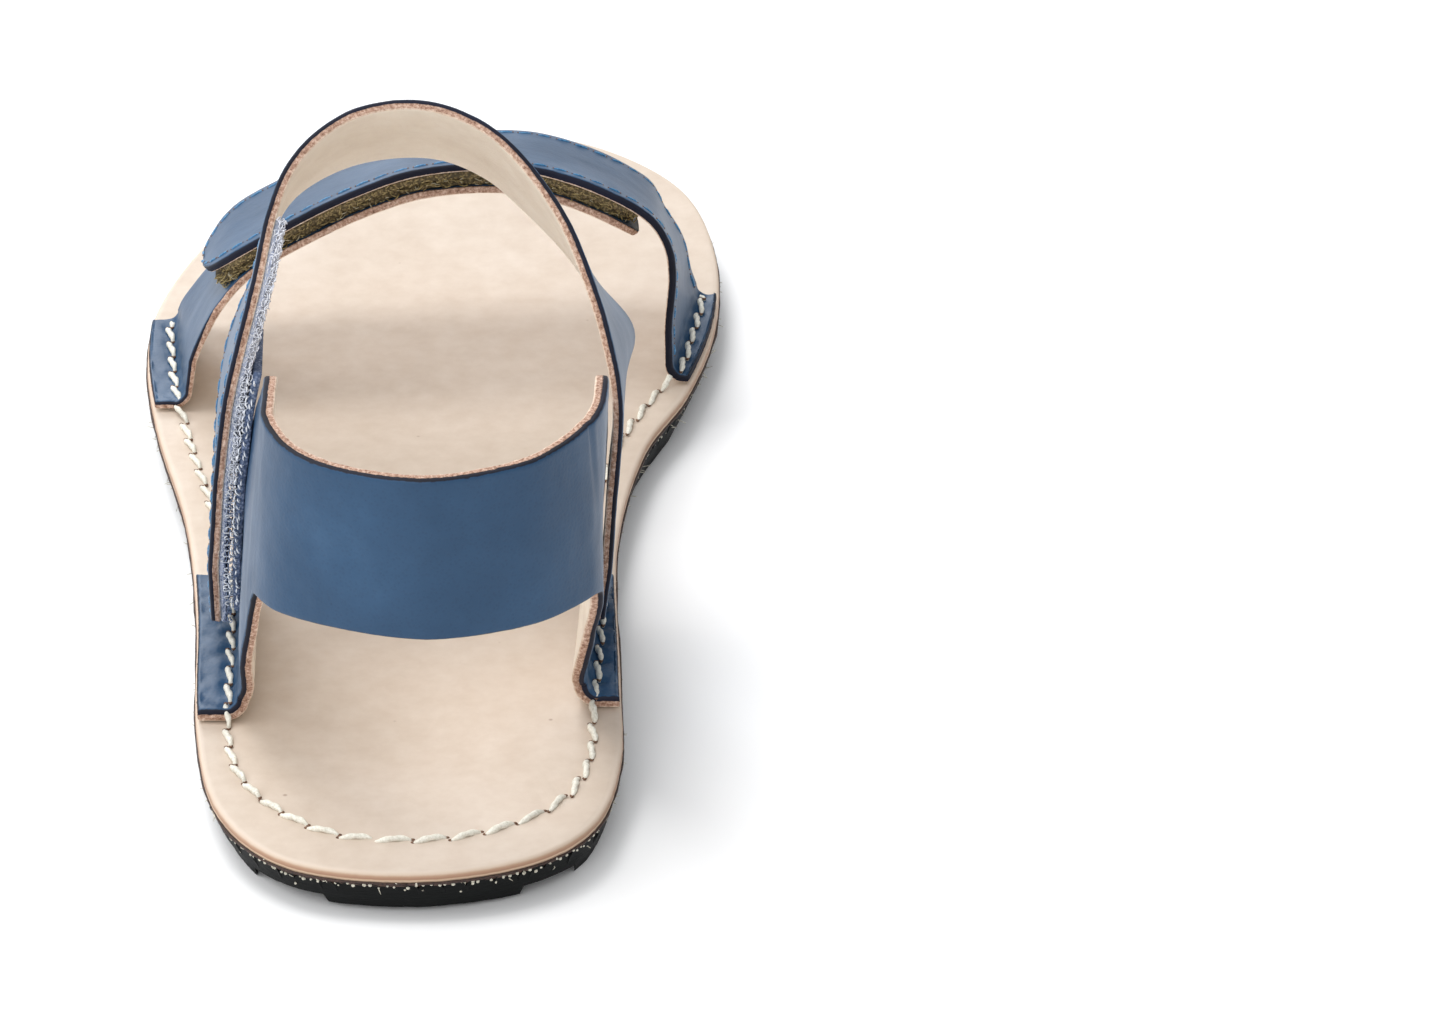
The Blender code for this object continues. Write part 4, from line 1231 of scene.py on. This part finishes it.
def fibre_ends():
    """Pale ends of the tyre's cords: a row under the leather at the heel, tufts round the sides."""
    rng = np.random.default_rng(21)
    loop = outline()
    closed = np.vstack([loop, loop[:1]])
    places, length = even_places(closed, 0.0012)
    ahead = unit(np.roll(loop, -1, axis=0) - np.roll(loop, 1, axis=0))
    ways = np.stack([ahead[:, 1], -ahead[:, 0]], 1)
    ways = np.vstack([ways, ways[:1]])
    dots, fuzz = [], []
    for place in places[:-1]:
        spot = place + rng.normal(0, 0.0003)
        x, y = sampled(closed, length, [spot])[0]
        out = unit(np.array([*sampled(ways, length, [spot])[0], 0.0]))
        behind = 1 - smooth_step(y, 0.02, 0.05)
        for _ in range(1 + int(rng.random() < 0.35)):
            down = rng.normal(0.0024, 0.00022) if rng.random() < 0.85 * behind else rng.uniform(0.0021, 0.0045)
            if rng.random() > 0.36 + 0.64 * behind:
                continue
            pull = UNDERCUT * max(down - EDGE_LEATHER, 0.0) / OUTSOLE_THICK
            base = np.array([x, y, -down]) - out * (pull + 0.00002)
            size = rng.uniform(0.00018, 0.00036)
            tip = base + out * rng.uniform(0.0002, 0.0004) + np.array([0, 0, rng.normal(0, 0.0001)])
            path = placed(np.array([base, (base + tip) / 2, tip]))
            dots.append(tube(path, [size, size, 0.55 * size], 6, np.array([0.0, 0.0, 1.0])))
        if rng.random() < 0.22 + 0.30 * smooth_step(y, 0.04, 0.08):
            down = rng.uniform(0.0018, 0.0042)
            base = np.array([x, y, -down]) - out * UNDERCUT * 0.25
            droop = rng.normal(0, 0.0004, 3)
            t = np.linspace(0, 1, 5)[:, None]
            tip = out * rng.uniform(0.0004, 0.0010)
            path = placed(base + tip * t + droop * t**2)
            fuzz.append(tube(path, np.linspace(0.00013, 0.00005, 5), 3, np.array([0.0, 0.0, 1.0])))
    return dots, fuzz


def glue_line():
    """Dark cement squeezed out in places between the leather and the rubber."""
    rng = np.random.default_rng(31)
    loop = outline()
    ahead = unit(np.roll(loop, -1, axis=0) - np.roll(loop, 1, axis=0))
    out = np.stack([ahead[:, 1], -ahead[:, 0]], 1)
    wander = np.convolve(np.tile(rng.normal(0, 1, len(loop)), 3), np.ones(3) / 3, "same")[len(loop) : 2 * len(loop)]
    proud = loop + out * (0.00002 + 0.00005 * wander)[:, None]
    path = placed(np.column_stack([proud, -EDGE_LEATHER - 0.00010 + 0.00006 * np.roll(wander, 5)]))
    path = np.vstack([path, path[:1]])
    radius = 0.00024 + 0.00005 * np.append(wander, wander[0])
    return [tube(path, radius, 6, np.array([0.0, 0.0, 1.0]))]


# The whole sandal


def under_tape(points):
    """How far the under strap's edge is dyed: less where the pile tape covers its face."""
    covered = smooth_step(points[:, 0], TAPE_STARTS_AT - 0.002, TAPE_STARTS_AT + 0.002)
    return DYED + (DYED_UNDER_TAPE - DYED) * covered


def build_sandal():
    blue_thread = thread_material("blue_thread", srgb(44, 92, 136), srgb(86, 148, 192), 0.45)
    white_thread = thread_material("waxed_thread", srgb(214, 210, 194), srgb(246, 243, 232), 0.45)
    # Painted shade: the needle holes' darkness is a dark brown colour on plugs set in them.
    hole_shade = thread_material("stitch_hole_shade", srgb(96, 70, 56), srgb(140, 106, 84), 0.9)
    dark_glue = thread_material("dark_cement", srgb(26, 20, 18), srgb(74, 48, 38), 0.6)
    pale_fibre = thread_material("pale_fibre", srgb(176, 170, 152), srgb(232, 228, 212), 0.85)
    olive_weave = woven_tape("olive_weave", srgb(86, 74, 48), srgb(150, 130, 92))
    olive_pile = thread_material("olive_pile", srgb(104, 92, 56), srgb(176, 156, 108), 0.8)
    pale_olive = thread_material("pale_olive_strand", srgb(170, 160, 128), srgb(222, 214, 190), 0.7)
    blue_weave = woven_tape("blue_weave", srgb(192, 201, 224), srgb(222, 228, 241))
    blue_pile = thread_material("blue_pile", srgb(222, 227, 243), srgb(248, 250, 255), 0.9)
    # Pile where the tape lies closed on the hooks: darker, partly painted shade in the narrow gap between the tapes,
    # partly the pressed pile's own look.
    closed_pile_and_shade = thread_material("closed_pile_and_shade", srgb(96, 114, 148), srgb(160, 174, 204), 0.9)
    hook_weave = woven_tape("hook_weave", srgb(88, 106, 140), srgb(150, 164, 194))
    white_hook = thread_material("nylon_hook", srgb(226, 232, 242), srgb(250, 252, 255), 0.25)

    welt = welt_line()
    up = np.tile([0.0, 0.0, 1.0], (len(welt), 1))
    welt_threads, welt_hole_shades, welt_dents = stitches(
        welt, up, WELT_STITCH, 0.0002, WELT_THREAD, 0.00012, 0.00042, 0.42, 2.5, 1, 1.1
    )
    over, below, front_loop, front_hook = front_faces()
    strap, loop, hook = instep_faces()
    total = lengths_along(strap)[-1]
    whole = part_of(strap, 0, total, STRAP_CORNER, STRAP_CORNER)

    seams, seam_hole_shades, over_dents, instep_dents = [], [], [], []
    tab = over[15:]
    for path, normals, seed, dents in (
        (*line_on(tab, 0.0026, True), 41, over_dents),
        (*line_on(tab, 0.0026, False), 42, over_dents),
        (*line_on(whole, 0.0030, True, 0.0, 0.36), 43, instep_dents),
        (*line_on(whole, 0.0032, False, 0.0, 0.32), 44, instep_dents),
    ):
        threads, hole_shades, found = seam(path, normals, seed)
        seams += threads
        seam_hole_shades += hole_shades
        dents += found

    footbed(welt_dents)
    outsole()
    leather_piece("heel_strap_leather", heel_grids(), HEEL_LEATHER, "heel_strap", 2, welt_dents, 0.00022)
    leather_piece("instep_strap_leather", [(whole, True)], LEATHER, "instep_strap", 3, instep_dents)
    leather_piece(
        "front_over_strap_leather", [(over, False)], FRONT_LEATHER, "front_over_strap", 4,
        welt_dents + over_dents, dyed=DYED_OVER,
    )
    leather_piece(
        "front_under_strap_leather", [(below, True)], FRONT_LEATHER, "front_under_strap", 6, welt_dents, 0.00028,
        dyed=under_tape,
    )

    loop_part = part_of(loop, TAPE_INSET, LOOP_TAPE_REACH, inset=TAPE_INSET)
    hook_part = part_of(hook, TAPE_START, HOOK_TAPE_REACH, inset=TAPE_INSET)
    tape_piece("instep_loop_ground", loop_part, 0.55 * INSTEP_LOOP_TAPE, blue_weave, "instep_loop_tape", 7)
    tape_piece("instep_hook_ground", hook_part, INSTEP_HOOK_TAPE + GAP, hook_weave, "instep_hook_tape", 8)
    tape_piece("front_loop_ground", front_loop, 0.55 * PILE_BAND, olive_weave, "front_loop_tape", 9)
    tape_piece("front_hook_ground", front_hook, 0.40 * PILE_BAND, olive_weave, "front_hook_tape", 10)

    blue_loops = pile_on_face(loop_part, 0.5 * INSTEP_LOOP_TAPE, -1, 0.00066, 0.0010, 0.00008, 60, (CLOSED_SHARE, 1.0))
    closed = int(CLOSED_SHARE * len(loop_part))
    closed_loops = []
    for column in (0, -1):
        blue_loops += pile_on_edge(
            loop_part, column, INSTEP_LOOP_TAPE, 0.0005, 0.0009, 0.00009, 63, (0.30, 0.55, 0.8, 1.05), (closed, None)
        )
        closed_loops += pile_on_edge(
            loop_part, column, INSTEP_LOOP_TAPE, 0.0007, 0.0006, 0.00009, 68, (0.35, 0.65, 0.95), (0, closed + 1)
        )
    added_piece("instep_loop_pile", blue_loops, blue_pile)
    # The closed pile's darker colour is partly painted shade between the tapes, partly the pressed pile's own colour.
    added_piece("instep_closed_pile_and_shade", closed_loops, closed_pile_and_shade)
    olive_loops, pale_loops = [], []
    for column in (0, -1):
        olive_loops += pile_on_edge(
            front_loop, column, 0.55 * PILE_BAND, 0.0008, 0.0015, 0.00012, 71, (0.0, 0.45, 0.85), (4, None)
        )
        olive_loops += pile_on_edge(front_hook, column, 0.40 * PILE_BAND, 0.0009, 0.0007, 0.00010, 75, (0.5, 0.9))
        pale_loops += pile_on_edge(front_loop, column, 0.55 * PILE_BAND, 0.0028, 0.0014, 0.00009, 78, (0.3, 0.7))
    added_piece("front_loop_pile", olive_loops, olive_pile)
    added_piece("front_loop_pale_strands", pale_loops, pale_olive)
    hook_rows = []
    for column in (0, -1):
        points, out, normal, along = grid_edge(hook_part, column)
        for number, (down, step, lean) in enumerate(HOOK_ROWS):
            places, length = even_places(points, step, 0.002)
            here, off_edge = sampled(points, length, places), unit(sampled(out, length, places))
            off_face = unit(sampled(normal, length, places))
            base = here - off_face * down * INSTEP_HOOK_TAPE - off_edge * 0.0004
            way = unit(off_edge * lean + off_face * (1 - lean))
            bend = unit(sampled(along, length, places) + 0.4 * off_face)
            hook_rows += hooks(base, way, bend, 0.0013, 0.00040, 0.00013, 81 + number)
    added_piece("instep_hooks", hook_rows, white_hook)

    added_piece("welt_stitches", welt_threads, white_thread)
    # Dark plugs in the welt's needle holes, coloured with painted shade.
    added_piece("welt_hole_shades", welt_hole_shades, hole_shade)
    added_piece("seam_stitches", seams, blue_thread)
    # Dark plugs in the seams' needle holes, coloured with painted shade.
    added_piece("seam_hole_shades", seam_hole_shades, hole_shade)
    dots, fuzz = fibre_ends()
    added_piece("rubber_fibre_ends", dots, pale_fibre)
    added_piece("rubber_fuzz", fuzz, pale_fibre)
    added_piece("cement_line", glue_line(), dark_glue)


def area_light(name, place, target, size, power, colour=(1.0, 1.0, 1.0)):
    data = bpy.data.lights.new(name, "AREA")
    data.shape = "DISK"
    data.size = size
    data.energy = power
    data.color = colour
    light = bpy.data.objects.new(name, data)
    light.location = place
    light.rotation_euler = (Vector(target) - Vector(place)).to_track_quat("-Z", "Y").to_euler()
    bpy.context.scene.collection.objects.link(light)


def build_studio():
    size = 6.0
    corners = [(-size, -size, 0.0), (size, -size, 0.0), (size, size, 0.0), (-size, size, 0.0)]
    mesh = bpy.data.meshes.new("floor")
    mesh.from_pydata(corners, [], [(0, 1, 2, 3)])
    mesh.materials.append(floor_material())
    floor = bpy.data.objects.new("floor", mesh)
    bpy.context.scene.collection.objects.link(floor)
    world = bpy.data.worlds.new("studio")
    world.use_nodes = True
    tree = world.node_tree
    way = node(tree, "ShaderNodeTexCoord").outputs["Generated"]
    split = node(tree, "ShaderNodeSeparateXYZ", {"Vector": way}).outputs
    level = maths(tree, "MULTIPLY_ADD", maths(tree, "MAXIMUM", split["Z"], 0.0), SKY_RISE, SKY_HORIZON)
    level = maths(tree, "MULTIPLY_ADD", split["X"], -SKY_LEFT, level)
    background = tree.nodes["Background"]
    background.inputs["Color"].default_value = (0.98, 0.99, 1.0, 1.0)
    tree.links.new(level, background.inputs["Strength"])
    bpy.context.scene.world = world
    for name, place, size, power in LIGHTS:
        area_light(name, place, (0.0, 0.0, 0.03), size, power)
    bpy.context.scene.view_settings.view_transform = "Standard"


def build_camera():
    data = bpy.data.cameras.new("camera")
    data.sensor_width = SENSOR
    data.lens = FOCAL_PIXELS / IMAGE_WIDTH * SENSOR
    camera = bpy.data.objects.new("camera", data)
    camera.location = CAMERA_PLACE
    camera.rotation_euler = (np.radians(90 - CAMERA_DOWN), 0.0, 0.0)
    bpy.context.scene.collection.objects.link(camera)
    bpy.context.scene.camera = camera


build_sandal()
build_studio()
build_camera()
